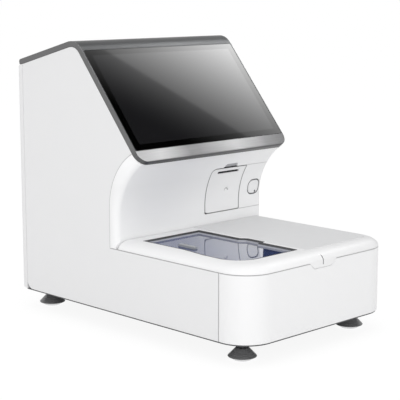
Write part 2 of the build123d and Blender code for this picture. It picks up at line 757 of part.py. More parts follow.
# Small bar on the window near its left edge
with BuildPart() as window_strip:
    with BuildSketch(Plane.XY.offset(up(WINDOW_SEAT + GLAZING))):
        with Locations((-126, back(218))):
            RectangleRounded(9, 43, 1.5)
    extrude(amount=4.5)
    chamfer(window_strip.faces().sort_by(Axis.Z)[-1].edges(), 0.6)
finish(window_strip, "window_strip")

with BuildPart() as lid_magnet:
    with BuildSketch(Plane.XY.offset(up(LID_SEAM + 0.8))):
        with Locations((0, back(19))):
            Rectangle(22, 8)
    extrude(amount=5)
finish(lid_magnet, "lid_magnet")

with BuildPart() as lid_hinge_pins:
    for x in HINGE_PLACES:
        with BuildSketch(Plane.YZ.offset(x - HINGE_WIDTH)):
            with Locations((back(HINGE_BACK), up(HINGE_UP))):
                Circle(PIN_RADIUS)
        extrude(amount=2 * HINGE_WIDTH)
finish(lid_hinge_pins, "lid_hinge_pins")

# Hinge brackets: a knuckle round each pin on an arm that stands on the bay's deck
with BuildPart() as lid_hinge_brackets:
    for x in HINGE_PLACES:
        with BuildSketch(Plane.YZ.offset(x - HINGE_WIDTH / 2)):
            with Locations((back(HINGE_BACK), up(HINGE_UP))):
                Circle(3.1)
            with Locations((back(HINGE_BACK), up((HINGE_UP + DECK_UP) / 2))):
                Rectangle(6.2, HINGE_UP - DECK_UP)
            with Locations((back(HINGE_BACK), up(HINGE_UP))):
                Circle(PIN_RADIUS + RUNNING, mode=Mode.SUBTRACT)
        extrude(amount=HINGE_WIDTH)
finish(lid_hinge_brackets, "lid_hinge_brackets")

with BuildPart() as lid_buffers:
    with BuildSketch(Plane.XY.offset(up(DECK_UP))):
        with Locations(*BUFFER_PLACES):
            Circle(4)
    extrude(amount=LID_SEAM + 0.8 - DECK_UP - 0.05, taper=8)
finish(lid_buffers, "lid_buffers")

with BuildPart() as catch_keeper:
    with BuildSketch(Plane.XY.offset(up(DECK_UP))):
        with Locations((0, back(19))):
            RectangleRounded(26, 11, 2)
        with Locations((-10, back(19)), (10, back(19))):
            Circle(1.6, mode=Mode.SUBTRACT)
    extrude(amount=1.5)
finish(catch_keeper, "catch_keeper")

# Loading bay: a deck under the lid with a deep open-backed tub below the window
TUB_LEFT = -168.0
TUB_RIGHT = -8.0
TUB_FRONT = 44.0
TUB_REAR = 320.0
TUB_WALL = 2.5
DECK = 2.6
tub_x = (TUB_LEFT + TUB_RIGHT) / 2
tub_y = back((TUB_FRONT + TUB_REAR) / 2)
with BuildPart() as loading_bay:
    with BuildSketch(Plane.XY.offset(up(DECK_UP - DECK))) as deck:
        with Locations((0, back((3.3 + 333) / 2))):
            Rectangle(370, 333 - 3.3)
        fillet(deck.vertices().group_by(Axis.Y)[0], 45)
    extrude(amount=DECK)
    with BuildSketch(Plane.XY.offset(up(BED_TOP - TUB_WALL))) as tub:
        with Locations((tub_x, tub_y)):
            Rectangle(TUB_RIGHT - TUB_LEFT + 2 * TUB_WALL, TUB_REAR - TUB_FRONT + 2 * TUB_WALL)
        fillet(tub.vertices().group_by(Axis.Y)[0], 10)
    extrude(amount=DECK_UP - DECK - BED_TOP + TUB_WALL)
    with BuildSketch(Plane.XY.offset(up(BED_TOP))) as tub_hollow:
        with Locations((tub_x, tub_y)):
            Rectangle(TUB_RIGHT - TUB_LEFT, TUB_REAR - TUB_FRONT)
        fillet(tub_hollow.vertices().group_by(Axis.Y)[0], 10 - TUB_WALL)
    extrude(amount=100, mode=Mode.SUBTRACT)
    # The tray runs out through the back of the tub
    with BuildSketch(Plane.XZ.offset(-back(TUB_REAR - 1))):
        with Locations((tub_x, up((BED_TOP + 108) / 2))):
            Rectangle(TUB_RIGHT - TUB_LEFT, 108 - BED_TOP)
    extrude(amount=-8, mode=Mode.SUBTRACT)
    # Legs that stand the bay on the chassis plate
    for leg in ((-150.0, 90.0), (-26.0, 90.0), (-150.0, 290.0), (-26.0, 290.0)):
        with BuildSketch(Plane.XY.offset(up(0))):
            with Locations((leg[0], back(leg[1]))):
                Circle(7)
        extrude(amount=BED_TOP - TUB_WALL)
    for leg in ((60.0, 60.0), (150.0, 110.0), (60.0, 300.0), (150.0, 300.0)):
        with BuildSketch(Plane.XY.offset(up(0))):
            with Locations((leg[0], back(leg[1]))):
                Circle(7)
        extrude(amount=DECK_UP - DECK)
    # Bearing on the tub's floor for the front end of the tray's screw
    with BuildSketch(Plane.XZ.offset(-back(66))) as section:
        with Locations((TRAY_X, up(BED_TOP - 1))):
            Rectangle(22, 14, align=(Align.CENTER, Align.MIN))
        fillet(section.vertices().group_by(Axis.Y)[-1], 4)
        with Locations((TRAY_X, up(SCREW_UP + 1))):
            Circle(SCREW_RADIUS + RUNNING, mode=Mode.SUBTRACT)
    extrude(amount=-16)
finish(loading_bay, "loading_bay")

# Bed in the tower that carries the rails and warms the cartridges
with BuildPart() as incubator_block:
    with BuildSketch(Plane.XZ.offset(-back(345))) as section:
        with Locations((TRAY_X, up(0))):
            Rectangle(150, BED_TOP, align=(Align.CENTER, Align.MIN))
            Rectangle(120, BED_TOP - 14, align=(Align.CENTER, Align.MIN), mode=Mode.SUBTRACT)
    extrude(amount=-220)
finish(incubator_block, "incubator_block")

with BuildPart() as tray_rails:
    with BuildSketch(Plane.XZ.offset(-back(60))) as section:
        with Locations((TRAY_X - RAIL_SPREAD, up(BED_TOP)), (TRAY_X + RAIL_SPREAD, up(BED_TOP))):
            Rectangle(10, 8, align=(Align.CENTER, Align.MIN))
        with Locations((TRAY_X - RAIL_SPREAD - 5, up(BED_TOP + 4)),
                       (TRAY_X - RAIL_SPREAD + 5, up(BED_TOP + 4)),
                       (TRAY_X + RAIL_SPREAD - 5, up(BED_TOP + 4)),
                       (TRAY_X + RAIL_SPREAD + 5, up(BED_TOP + 4))):
            Circle(1.2, mode=Mode.SUBTRACT)
    extrude(amount=-500)
finish(tray_rails, "tray_rails")

# Cartridge tray: lanes for the strips, runners over the rails and a nut block for the screw
TRAY_UP = BED_TOP + 14
lane = TRAY_WIDTH / STRIP_COUNT
with BuildPart() as cartridge_tray:
    with BuildSketch(Plane.XY.offset(up(TRAY_UP))):
        with Locations((TRAY_X, back(TRAY_FRONT + TRAY_LENGTH / 2))):
            RectangleRounded(TRAY_WIDTH, TRAY_LENGTH, 5)
    extrude(amount=4)
    with BuildSketch(Plane.XY.offset(up(TRAY_UP + 4))):
        with Locations((TRAY_X, back(TRAY_FRONT + TRAY_LENGTH / 2 + 8))):
            with GridLocations(lane, 0, STRIP_COUNT + 1, 1):
                Rectangle(1.2, TRAY_LENGTH - 36)
        with Locations((TRAY_X, back(TRAY_FRONT + TRAY_LENGTH - 8))):
            Rectangle(TRAY_WIDTH, 3)
    extrude(amount=9)
    for side in (-1, 1):
        with BuildSketch(Plane.XZ.offset(-back(TRAY_FRONT + 20))):
            with Locations((TRAY_X + side * RAIL_SPREAD, up(BED_TOP + 3))):
                Rectangle(18, 11, align=(Align.CENTER, Align.MIN))
                Rectangle(10.6, 5.4, align=(Align.CENTER, Align.MIN), mode=Mode.SUBTRACT)
        extrude(amount=-(TRAY_LENGTH - 40))
    with BuildSketch(Plane.XZ.offset(-back(TRAY_FRONT + 100))):
        with Locations((TRAY_X, up(BED_TOP + 7.8))):
            Rectangle(22, 12.4)
        with Locations((TRAY_X, up(SCREW_UP + 1))):
            Circle(SCREW_RADIUS + 0.3, mode=Mode.SUBTRACT)
    extrude(amount=-24)
    # Upright grip at the front edge
    with BuildSketch(Plane.XZ.offset(-back(TRAY_FRONT + 2))) as grip:
        with Locations((TRAY_X, up(TRAY_UP + 4))):
            Rectangle(70, 26, align=(Align.CENTER, Align.MIN))
        fillet(grip.vertices().group_by(Axis.Y)[-1], 8)
        with Locations((TRAY_X, up(TRAY_UP + 20))):
            SlotOverall(44, 10, mode=Mode.SUBTRACT)
    extrude(amount=-3)
finish(cartridge_tray, "cartridge_tray")

# Test strips: each a long strip of cups under a foil, which dips a little over every cup
STRIP_UP = TRAY_UP + 4
with BuildPart() as test_strips:
    strip_width = lane - 2.4
    for index in range(STRIP_COUNT):
        x = TRAY_X + (index - (STRIP_COUNT - 1) / 2) * lane
        with BuildSketch(Plane.XY.offset(up(STRIP_UP))):
            with Locations((x, back(TRAY_FRONT + 130))):
                RectangleRounded(strip_width, 182, 4)
        extrude(amount=26)
        with BuildSketch(Plane.XY.offset(up(STRIP_UP + 26))):
            with Locations(*[(x, back(TRAY_FRONT + 62 + 16 * well)) for well in range(8)]):
                Circle(5)
            with Locations((x, back(TRAY_FRONT + 206))):
                RectangleRounded(10, 20, 3)
        extrude(amount=-1.2, mode=Mode.SUBTRACT)
finish(test_strips, "test_strips")

# Drive screw of the tray, with its plain ends
with BuildPart() as tray_screw:
    with BuildSketch(Plane.XZ.offset(-back(74))):
        with Locations((TRAY_X, up(SCREW_UP + 1))):
            Circle(SCREW_RADIUS)
    extrude(amount=-494)
    with BuildSketch(Plane.XZ.offset(-back(568))):
        with Locations((TRAY_X, up(SCREW_UP + 1))):
            Circle(2.5)
    extrude(amount=-12)
finish(tray_screw, "tray_screw")

with BuildPart() as tray_motor:
    with BuildSketch(Plane.XZ.offset(-back(570))):
        with Locations((TRAY_X, up(SCREW_UP + 1))):
            RectangleRounded(42, 42, 4)
    extrude(amount=-34)
    with BuildSketch(Plane.XZ.offset(-back(568))):
        with Locations((TRAY_X, up((SCREW_UP + 23) / 2))):
            Rectangle(50, SCREW_UP + 23)
    extrude(amount=-2)
    with BuildSketch(Plane.XY.offset(up(0))):
        with Locations((TRAY_X, back(586))):
            Rectangle(50, 36)
    extrude(amount=2)
    with BuildSketch(Plane.XZ.offset(-back(560))):
        with Locations((TRAY_X, up(SCREW_UP + 1))):
            Circle(2.5 + RUNNING)
    extrude(amount=-24, mode=Mode.SUBTRACT)
finish(tray_motor, "tray_motor")

# Pipette: a beam across the tower, a carriage along it and a head that goes down
BEAM_BACK = 440.0
BEAM_UP = 200.0
with BuildPart() as pipette_beam:
    with BuildSketch(Plane.YZ.offset(-FRAME_X + 2)) as section:
        with Locations((back(BEAM_BACK), up(BEAM_UP))):
            Rectangle(20, 40)
            Rectangle(14, 34, mode=Mode.SUBTRACT)
        with Locations((back(BEAM_BACK - 13), up(BEAM_UP))):
            Rectangle(6, 12)
    extrude(amount=2 * (FRAME_X - 2))
finish(pipette_beam, "pipette_beam")

with BuildPart() as pipette_carriage:
    with BuildSketch(Plane.YZ.offset(TRAY_X - 22)) as section:
        with Locations((back(BEAM_BACK - 18), up(BEAM_UP + 5))):
            Rectangle(14, 70)
        with Locations((back(BEAM_BACK - 13), up(BEAM_UP))):
            Rectangle(6.8, 12.8, mode=Mode.SUBTRACT)
    extrude(amount=44)
    with BuildSketch(Plane.XZ.offset(-back(BEAM_BACK - 25))):
        with Locations((TRAY_X, up(BEAM_UP + 5))):
            Rectangle(12, 70)
    extrude(amount=6)
finish(pipette_carriage, "pipette_carriage")

with BuildPart() as pipette_head:
    with BuildSketch(Plane.XY.offset(up(BEAM_UP - 25))):
        with Locations((TRAY_X, back(BEAM_BACK - 40))):
            RectangleRounded(30, 22, 3)
        with Locations((TRAY_X, back(BEAM_BACK - 29))):
            Rectangle(12.6, 8.6, mode=Mode.SUBTRACT)
    extrude(amount=60)
    with BuildSketch(Plane.XZ.offset(-back(BEAM_BACK - 42))):
        with BuildLine():
            Polyline(
                (TRAY_X, up(BEAM_UP - 80)),
                (TRAY_X + 1.5, up(BEAM_UP - 80)),
                (TRAY_X + 3.5, up(BEAM_UP - 40)),
                (TRAY_X + 3.5, up(BEAM_UP - 25)),
                (TRAY_X, up(BEAM_UP - 25)),
                close=True,
            )
        make_face()
    revolve(axis=Axis((TRAY_X, back(BEAM_BACK - 42), 0), (0, 0, 1)))
finish(pipette_head, "pipette_head")

# Light detector beside the tray's path, on its bracket
with BuildPart() as light_detector:
    with BuildSketch(Plane.YZ.offset(-2)):
        with Locations((back(500), up(84))):
            Circle(21)
    extrude(amount=96)
    with BuildSketch(Plane.YZ.offset(-8)):
        with Locations((back(500), up(84))):
            Circle(12)
    extrude(amount=6)
    with BuildSketch(Plane.XY.offset(up(0))):
        with Locations((45, back(500))):
            Rectangle(40, 30)
    extrude(amount=70)
finish(light_detector, "light_detector")

with BuildPart() as pipette_pump:
    with BuildSketch(Plane.XY.offset(up(0))):
        with Locations((60, back(400))):
            RectangleRounded(50, 60, 4)
    extrude(amount=96)
    with BuildSketch(Plane.XY.offset(up(96))):
        with Locations((60, back(400))):
            Circle(9)
    extrude(amount=50)
finish(pipette_pump, "pipette_pump")

with BuildPart() as power_supply:
    with BuildSketch(Plane.XY.offset(up(0))):
        with Locations((124, back(520))):
            Rectangle(76, 130)
    extrude(amount=52)
finish(power_supply, "power_supply")

with BuildPart() as main_board:
    with BuildSketch(Plane.YZ.offset(FRAME_X - 8)):
        with Locations((back(515), up(290))):
            Rectangle(160, 120)
    extrude(amount=1.6)
    with BuildSketch(Plane.YZ.offset(FRAME_X - 6.4)):
        with Locations((back(515), up(290))):
            with GridLocations(144, 104, 2, 2):
                Circle(3)
    extrude(amount=4.4)
    with BuildSketch(Plane.YZ.offset(FRAME_X - 8)):
        with Locations((back(490), up(302)), (back(550), up(270))):
            Rectangle(34, 34)
    extrude(amount=-7)
finish(main_board, "main_board")

# Printer door: follows the recess wall, with a hinge barrel, a paper slot and two roller arms
PLATEN_BACK = 328.0
PLATEN_UP = 241.0
PLATEN_RADIUS = 6.0
SLOT_UP = 242.0
SLOT = 4.6
HINGE_DOOR_BACK = WALL_BACK + DOOR_BARREL
HINGE_DOOR_UP = DOOR_LOW + GAP + DOOR_BARREL
door_middle = (DOOR_LEFT + DOOR_RIGHT) / 2
door_width = DOOR_RIGHT - DOOR_LEFT
with BuildPart() as printer_door:
    add(wall_form.part)
    with BuildSketch(Plane.XZ.offset(-back(370))) as outline:
        with Locations((door_middle, up(HINGE_DOOR_UP))):
            Rectangle(door_width, DOOR_HIGH - DOOR_GAP - HINGE_DOOR_UP, align=(Align.CENTER, Align.MIN))
        fillet(outline.vertices().group_by(Axis.Y)[0].sort_by(Axis.X)[0], 3.5)
        fillet(outline.vertices().group_by(Axis.Y)[-1].sort_by(Axis.X)[0], 10 - DOOR_GAP)
    extrude(amount=160, mode=Mode.INTERSECT)
    with BuildSketch(Plane.YZ.offset(DOOR_LEFT + 5)):
        with Locations((back(HINGE_DOOR_BACK), up(HINGE_DOOR_UP))):
            Circle(DOOR_BARREL)
    extrude(amount=door_width - 5)
    for x in (door_middle - 36, door_middle + 33):
        with BuildSketch(Plane.YZ.offset(x)):
            with Locations((back(PLATEN_BACK), up(PLATEN_UP))):
                Circle(5)
            with Locations((back(PLATEN_BACK - 6), up(PLATEN_UP))):
                Rectangle(12, 10)
            with Locations((back(PLATEN_BACK), up(PLATEN_UP))):
                Circle(2 + RUNNING, mode=Mode.SUBTRACT)
        extrude(amount=3)
    with BuildSketch(Plane.YZ.offset(DOOR_LEFT)):
        with Locations((back(WALL_ARC_BACK), up(WALL_ARC_UP))):
            Circle(WALL_ARC_RADIUS)
    extrude(amount=door_width, mode=Mode.SUBTRACT)
    with BuildSketch(Plane.XZ.offset(-back(370))):
        with Locations((door_middle, up(SLOT_UP))):
            RectangleRounded(60, SLOT, 1.4)
    extrude(amount=160, mode=Mode.SUBTRACT)
    # Dimple for a fingertip
    face_back = WALL_ARC_BACK + math.sqrt(WALL_ARC_RADIUS**2 - (DIMPLE_UP - WALL_ARC_UP) ** 2)
    ball = (DIMPLE_RADIUS**2 + DIMPLE_DEPTH**2) / (2 * DIMPLE_DEPTH)
    with Locations((DIMPLE_X, back(face_back - ball + DIMPLE_DEPTH), up(DIMPLE_UP))):
        Sphere(ball, mode=Mode.SUBTRACT)
finish(printer_door, "printer_door")

# Scoop above the door that lets a fingertip reach its upper edge
with BuildPart() as finger_scoop:
    add(wall_form.part.moved(Location((0, WALL + 1.2, 0))))
    with BuildSketch(Plane.XZ.offset(-back(370))):
        with BuildLine():
            Polyline(
                (door_middle - 23, up(DOOR_HIGH + 0.6)),
                (door_middle - 17, up(DOOR_HIGH + 10)),
                (door_middle + 17, up(DOOR_HIGH + 10)),
                (door_middle + 23, up(DOOR_HIGH + 0.6)),
                close=True,
            )
        make_face()
    extrude(amount=160, mode=Mode.INTERSECT)
finish(finger_scoop, "finger_scoop")

# Rubber roller in the door that pulls the paper through
with BuildPart() as platen_roller:
    with BuildSketch(Plane.YZ.offset(door_middle - 32)):
        with Locations((back(PLATEN_BACK), up(PLATEN_UP))):
            Circle(PLATEN_RADIUS)
    extrude(amount=64)
    with BuildSketch(Plane.YZ.offset(door_middle - 36)):
        with Locations((back(PLATEN_BACK), up(PLATEN_UP))):
            Circle(2)
    extrude(amount=72)
finish(platen_roller, "platen_roller")

# Paper bin behind the door, with a print head above the roller and pegs for the paper core
ROLL_BACK = 374.0
ROLL_UP = 198.5
ROLL_RADIUS = 26.0
PEG_RADIUS = 5.0
BIN_HALF = 38.0
with BuildPart() as printer_bin:
    with BuildSketch(Plane.YZ.offset(door_middle - BIN_HALF)) as section:
        with BuildLine():
            Polyline(
                (back(346), up(168)),
                (back(408), up(168)),
                (back(408), up(262)),
                (back(336), up(262)),
                (back(336), up(250)),
                (back(346), up(250)),
                close=True,
            )
        make_face()
        fillet(nearest(section, (back(408), up(168))), 20)
        with BuildLine():
            Polyline(
                (back(340), up(171)),
                (back(405), up(171)),
                (back(405), up(250)),
                (back(340), up(250)),
                close=True,
            )
        make_face(mode=Mode.SUBTRACT)
    extrude(amount=2 * BIN_HALF)
    for x in (door_middle - BIN_HALF, door_middle + BIN_HALF - 3):
        with BuildSketch(Plane.YZ.offset(x)) as cheek:
            with BuildLine():
                Polyline(
                    (back(340), up(168)),
                    (back(408), up(168)),
                    (back(408), up(262)),
                    (back(340), up(262)),
                    close=True,
                )
            make_face()
            fillet(nearest(cheek, (back(408), up(168))), 20)
        extrude(amount=3)
    for side in (-1, 1):
        start = door_middle + side * (BIN_HALF - 3)
        with BuildSketch(Plane.YZ.offset(start)):
            with Locations((back(ROLL_BACK), up(ROLL_UP))):
                Circle(PEG_RADIUS)
        extrude(amount=-side * 9)
finish(printer_bin, "printer_bin")

with BuildPart() as paper_roll:
    with BuildSketch(Plane.YZ.offset(door_middle - 28.5)):
        with Locations((back(ROLL_BACK), up(ROLL_UP))):
            Circle(ROLL_RADIUS)
            Circle(PEG_RADIUS + 1, mode=Mode.SUBTRACT)
    extrude(amount=57)
finish(paper_roll, "paper_roll")

# Cooling fan behind the rear grille
FAN_SIZE = 80.0
fan_back = DEPTH - WALL
with BuildPart() as fan_housing:
    with BuildSketch(Plane.XZ.offset(-back(fan_back))):
        with Locations((FAN_X, up(FAN_UP))):
            RectangleRounded(FAN_SIZE, FAN_SIZE, 5)
            Circle(38, mode=Mode.SUBTRACT)
            with GridLocations(71.5, 71.5, 2, 2):
                Circle(2.2, mode=Mode.SUBTRACT)
    extrude(amount=25)
    with BuildSketch(Plane.XZ.offset(-back(fan_back - 22))):
        with Locations((FAN_X, up(FAN_UP))):
            Circle(17)
            with PolarLocations(0, 3):
                with Locations((27, 0)):
                    Rectangle(26, 5)
    extrude(amount=3)
    with BuildSketch(Plane.XZ.offset(-back(fan_back - 3))):
        with Locations((FAN_X, up(FAN_UP))):
            Circle(1.5)
    extrude(amount=20)
finish(fan_housing, "fan_housing")

# Fan rotor: a hub with seven twisted blades
with BuildPart() as fan_rotor:
    with BuildSketch(Plane.XZ.offset(-back(fan_back - 3))):
        with Locations((FAN_X, up(FAN_UP))):
            Circle(16)
            Circle(1.5 + RUNNING, mode=Mode.SUBTRACT)
    extrude(amount=17)
    axis_place = (FAN_X, back(fan_back - 11.5), up(FAN_UP))
    for index in range(7):
        turn = 360 / 7 * index
        root = Plane(origin=axis_place, x_dir=(0, 1, 0), z_dir=(1, 0, 0))
        sections = []
        for reach, pitch in ((14.0, 38.0), (36.0, 24.0)):
            with BuildSketch(root.offset(reach)) as blade:
                Rectangle(15 if reach < 20 else 13, 1.6, rotation=90 - pitch)
            sections.append(blade.sketch.rotate(Axis(axis_place, (0, 1, 0)), turn))
        loft(sections)
finish(fan_rotor, "fan_rotor")

# Connectors let into the rear cover: their flanges lie flush with its outer face
REAR_FACE = Plane.XZ.offset(-back(DEPTH))
with BuildPart() as power_inlet:
    with BuildSketch(REAR_FACE):
        with Locations((INLET_X, up(INLET_UP))):
            RectangleRounded(34, 26, 3)
    extrude(amount=1.6)
    with BuildSketch(REAR_FACE):
        with Locations((INLET_X, up(INLET_UP))):
            Rectangle(28, 20)
    extrude(amount=22)
    with BuildSketch(REAR_FACE) as cavity:
        with Locations((INLET_X, up(INLET_UP))):
            Rectangle(24.2, 16.2)
        chamfer(cavity.vertices().group_by(Axis.Y)[-1], 5)
    extrude(amount=18, mode=Mode.SUBTRACT)
    with BuildSketch(REAR_FACE.offset(19)):
        with Locations(
            (INLET_X - 7, up(INLET_UP - 2)),
            (INLET_X + 7, up(INLET_UP - 2)),
            (INLET_X, up(INLET_UP + 3)),
        ):
            Rectangle(2, 5)
    extrude(amount=-12)
finish(power_inlet, "power_inlet")

ROCKER_BACK = DEPTH - 6.5
ROCKER_PIN = 1.5
with BuildPart() as switch_housing:
    with BuildSketch(REAR_FACE):
        with Locations((SWITCH_X, up(INLET_UP))):
            RectangleRounded(18, 24, 2)
    extrude(amount=1.4)
    with BuildSketch(REAR_FACE):
        with Locations((SWITCH_X, up(INLET_UP))):
            Rectangle(13, 19)
    extrude(amount=18)
    with BuildSketch(REAR_FACE):
        with Locations((SWITCH_X, up(INLET_UP))):
            Rectangle(11.4, 17.4)
    extrude(amount=16, mode=Mode.SUBTRACT)
    with BuildSketch(Plane.YZ.offset(SWITCH_X - 7)):
        with Locations((back(ROCKER_BACK), up(INLET_UP))):
            Circle(ROCKER_PIN + RUNNING)
    extrude(amount=14, mode=Mode.SUBTRACT)
finish(switch_housing, "switch_housing")

# Rocker of the mains switch, on a pivot pin and tilted to its off side
ROCKER_TILT = 8.0
with BuildPart() as switch_rocker:
    with BuildSketch(Plane.YZ.offset(SWITCH_X - 5.3)):
        with Locations(Location((back(ROCKER_BACK), up(INLET_UP), 0), (0, 0, ROCKER_TILT))):
            Polygon((-4, 0), (5.2, 7.4), (3.8, 0), (5.2, -7.4), align=None)
    extrude(amount=10.6)
    with BuildSketch(Plane.YZ.offset(SWITCH_X - 6.2)):
        with Locations((back(ROCKER_BACK), up(INLET_UP))):
            Circle(ROCKER_PIN)
    extrude(amount=12.4)
finish(switch_rocker, "switch_rocker")

with BuildPart() as data_ports:
    with BuildSketch(REAR_FACE.offset(0.4)):
        with Locations(*USB_PLACES):
            Rectangle(13.2, 5.8)
        with Locations(NETWORK_PLACE):
            Rectangle(16, 13.6)
    extrude(amount=16)
    with BuildSketch(REAR_FACE.offset(0.4)):
        with Locations(*USB_PLACES):
            Rectangle(12, 4.6)
        with Locations(NETWORK_PLACE):
            Rectangle(12, 9)
    extrude(amount=14, mode=Mode.SUBTRACT)
    with BuildSketch(REAR_FACE.offset(2)):
        with Locations(*USB_PLACES):
            with Locations((0, 1.2)):
                Rectangle(12, 1.6)
    extrude(amount=13)
finish(data_ports, "data_ports")

# Levelling feet: a spun pad with a socket, and a stud with a hexagon that screws into the base
PAD_PROFILE = ((0.0, 0.0), (16.5, 0.0), (17.5, 1.0), (25.6, 5.4), (26.0, 6.4), (25.0, 7.6))
SHOULDER_RADIUS = 13.6
SHOULDER_UP = 19.5
PAD_TOP = 21.0
for side_x, side in ((-FOOT_X, "left"), (FOOT_X, "right")):
    for end, foot_back in FOOT_BACKS.items():
        with BuildPart() as foot_pad:
            with BuildSketch(Plane.XZ.offset(-back(foot_back))):
                with BuildLine():
                    skirt = Polyline(*[(side_x + radius, z) for radius, z in PAD_PROFILE])
                    cone = Line(skirt @ 1, (side_x + SHOULDER_RADIUS, SHOULDER_UP))
                    Polyline(
                        cone @ 1,
                        (side_x + SHOULDER_RADIUS - 1.5, PAD_TOP),
                        (side_x, PAD_TOP),
                        skirt @ 0,
                    )
                make_face()
            revolve(axis=Axis((side_x, back(foot_back), 0), (0, 0, 1)))
            with BuildSketch(Plane.XY.offset(PAD_TOP)):
                with Locations((side_x, back(foot_back))):
                    Circle(STUD_RADIUS + RUNNING)
            extrude(amount=-10, mode=Mode.SUBTRACT)
        finish(foot_pad, f"foot_pad_{end}_{side}")
        with BuildPart() as foot_stud:
            with BuildSketch(Plane.XY.offset(PAD_TOP - 10)):
                with Locations((side_x, back(foot_back))):
                    Circle(STUD_RADIUS)
            extrude(amount=up(22) - PAD_TOP + 10)
            with BuildSketch(Plane.XY.offset(PAD_TOP + 2)):
                with Locations((side_x, back(foot_back))):
                    RegularPolygon(6.5, 6, major_radius=False)
            extrude(amount=5)
            with BuildSketch(Plane.XY.offset(up(-2.5) - 6)):
                with Locations((side_x, back(foot_back))):
                    RegularPolygon(6.5, 6, major_radius=False)
            extrude(amount=5)
        finish(foot_stud, f"foot_stud_{end}_{side}")
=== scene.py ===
import json
import math
import bmesh
import bpy
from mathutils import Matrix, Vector


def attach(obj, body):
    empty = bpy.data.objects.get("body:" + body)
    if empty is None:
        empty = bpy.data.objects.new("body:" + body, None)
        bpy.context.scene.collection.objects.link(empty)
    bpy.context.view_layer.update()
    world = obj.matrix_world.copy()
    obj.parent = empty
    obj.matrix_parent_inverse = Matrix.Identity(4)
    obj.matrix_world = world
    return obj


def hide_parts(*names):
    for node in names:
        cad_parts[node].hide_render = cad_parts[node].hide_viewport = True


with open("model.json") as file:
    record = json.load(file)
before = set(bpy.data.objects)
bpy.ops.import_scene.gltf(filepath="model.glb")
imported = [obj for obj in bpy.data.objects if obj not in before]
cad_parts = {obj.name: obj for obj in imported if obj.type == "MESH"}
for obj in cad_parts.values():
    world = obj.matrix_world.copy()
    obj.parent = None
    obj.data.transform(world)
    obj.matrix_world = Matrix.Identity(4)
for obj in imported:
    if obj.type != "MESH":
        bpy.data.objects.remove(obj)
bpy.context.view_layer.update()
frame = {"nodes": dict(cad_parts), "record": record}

# The camera stands in front of the object, to its left and a little above it
CAMERA_PLACE = (-1.6742, -1.7008, 0.6465)
CAMERA_AIM = (0.6916, 0.7018, -0.1707)
CAMERA_LENS = 111.46
CAMERA_SENSOR = 36.0

scene = bpy.context.scene
camera_data = bpy.data.cameras.new("camera")
camera_data.lens = CAMERA_LENS
camera_data.sensor_width = CAMERA_SENSOR
camera = bpy.data.objects.new("camera", camera_data)
scene.collection.objects.link(camera)
camera.location = CAMERA_PLACE
camera.rotation_euler = Vector(CAMERA_AIM).to_track_quat("-Z", "Y").to_euler()
scene.camera = camera
bpy.context.scene.view_settings.view_transform = "Standard"

# Places on the object are in metres, and FAR lies beyond the object on every axis
FAR = 1.0

# The display frame slopes down from its bend, so places along the slope are less than 0
SLOPE = math.radians(50.23)
BEND_PLACE = Vector((0.0, 0.1264, 0.5484))
SLOPE_ALONG = Vector((0.0, math.cos(SLOPE), math.sin(SLOPE)))
SLOPE_OUT = Vector((0.0, -math.sin(SLOPE), math.cos(SLOPE)))
CHIN_TOP = -0.2570
BROW = (-0.002, -0.026)
FRAME_FACE = -0.0004
FRAME_SIDE = 0.1990
DISPLAY_MIDDLE = -0.1420
DISPLAY_HALF = (0.1820, 0.1015)

# Places across the chin between which its painted shine, a painted reflection, comes and goes, how strong the
# painted gleam in the middle is, and where the chin is painted dimmer to the right
PAINTED_SHINE_LEFT = (-0.070, -0.145)
PAINTED_GLEAM_RISE = (-0.045, 0.050)
PAINTED_GLEAM_FALL = (0.140, 0.060)
PAINTED_GLEAM_STRENGTH = 0.56
PAINTED_DIM_RIGHT = (0.12, 0.20)

# Seams of the covers, as heights beside the lid and depths beside the front cover
LID_SEAM = (0.1604, 0.1640)
LID_SEAM_BACK = 0.0350
FRONT_SEAM = (-0.2513, -0.2492)

# Seam round the recess, as the depth and height of its axis and two distances from it
RECESS_AXIS = (-0.0845, 0.239)
RECESS_SEAM = (0.1190, 0.1206)
RECESS_FOOT = 0.1610
RECESS_FRONT = -0.08

# Printer door, button and insert on the recess wall, as places across and heights
DOOR_OPENING = {"middle": (0.0815, 0.24415), "half": (0.0488, 0.04635), "corner": 0.0025, "upper_left": 0.010}
DOOR_OUTLINE = {"middle": (0.0815, 0.2438), "half": (0.0475, 0.0454), "corner": 0.0030, "upper_left": 0.0087}
BUTTON_OUTLINE = {"middle": (0.171, 0.239), "half": (0.017, 0.016), "corner": 0.0125}
# How far painted shade lines reach past the opening, the button and the door's edge, and how far inward they
# reach
OPENING_LINE = 0.0007
BUTTON_LINE = 0.0003
DOOR_LINE = -0.0006
LINE_REACH = 0.02
INSERT_LEFT = 0.1312
INSERT_EDGES = ((0.1970, 0.1985), (0.2898, 0.2913))
# Heights over which painted light lifts the wall under the chin, against its shadow
PAINTED_LIGHT_UNDER_CHIN = (0.275, 0.330)
KEY_LIGHT = (0.1770, 0.2286)
KEY_LIGHT_RADIUS = 0.0024
DIMPLE = (0.091, 0.240)
DIMPLE_EDGE = (0.0036, 0.0060)

# Heights and places where the gasket, the window, the lid and the feet change their look; on the window and
# the lid the change is painted light and shade
GASKET_WALL = (0.1722, 0.1748)
GASKET_LIP = (0.1751, 0.1754)
WINDOW_PAINTED_SHADE = (-0.052, -0.014)
WINDOW_SIDEWAYS = Vector((0.70, -0.69, 0.0))
WINDOW_SHINES = (-0.04, 0.08)
LID_DIMS = (-0.10, 0.12)
FOOT_RIM = (0.0048, 0.0060)

# A point on the axle of the paper roll
ROLL_AXLE = (0.0, 0.058, 0.2375)

# Noise lies mostly between these two values
NOISE_RANGE = (0.3, 0.7)

# The shadow in a seam, and plain white and black
SEAM_SHADOW = (0.02, 0.02, 0.022)
WHITE = (1.0, 1.0, 1.0)
BLACK = (0.0, 0.0, 0.0)


def new_material(name):
    """A new node material, its node tree and its Principled shader."""
    made = bpy.data.materials.new(name)
    made.use_nodes = True
    return made, made.node_tree, made.node_tree.nodes["Principled BSDF"]


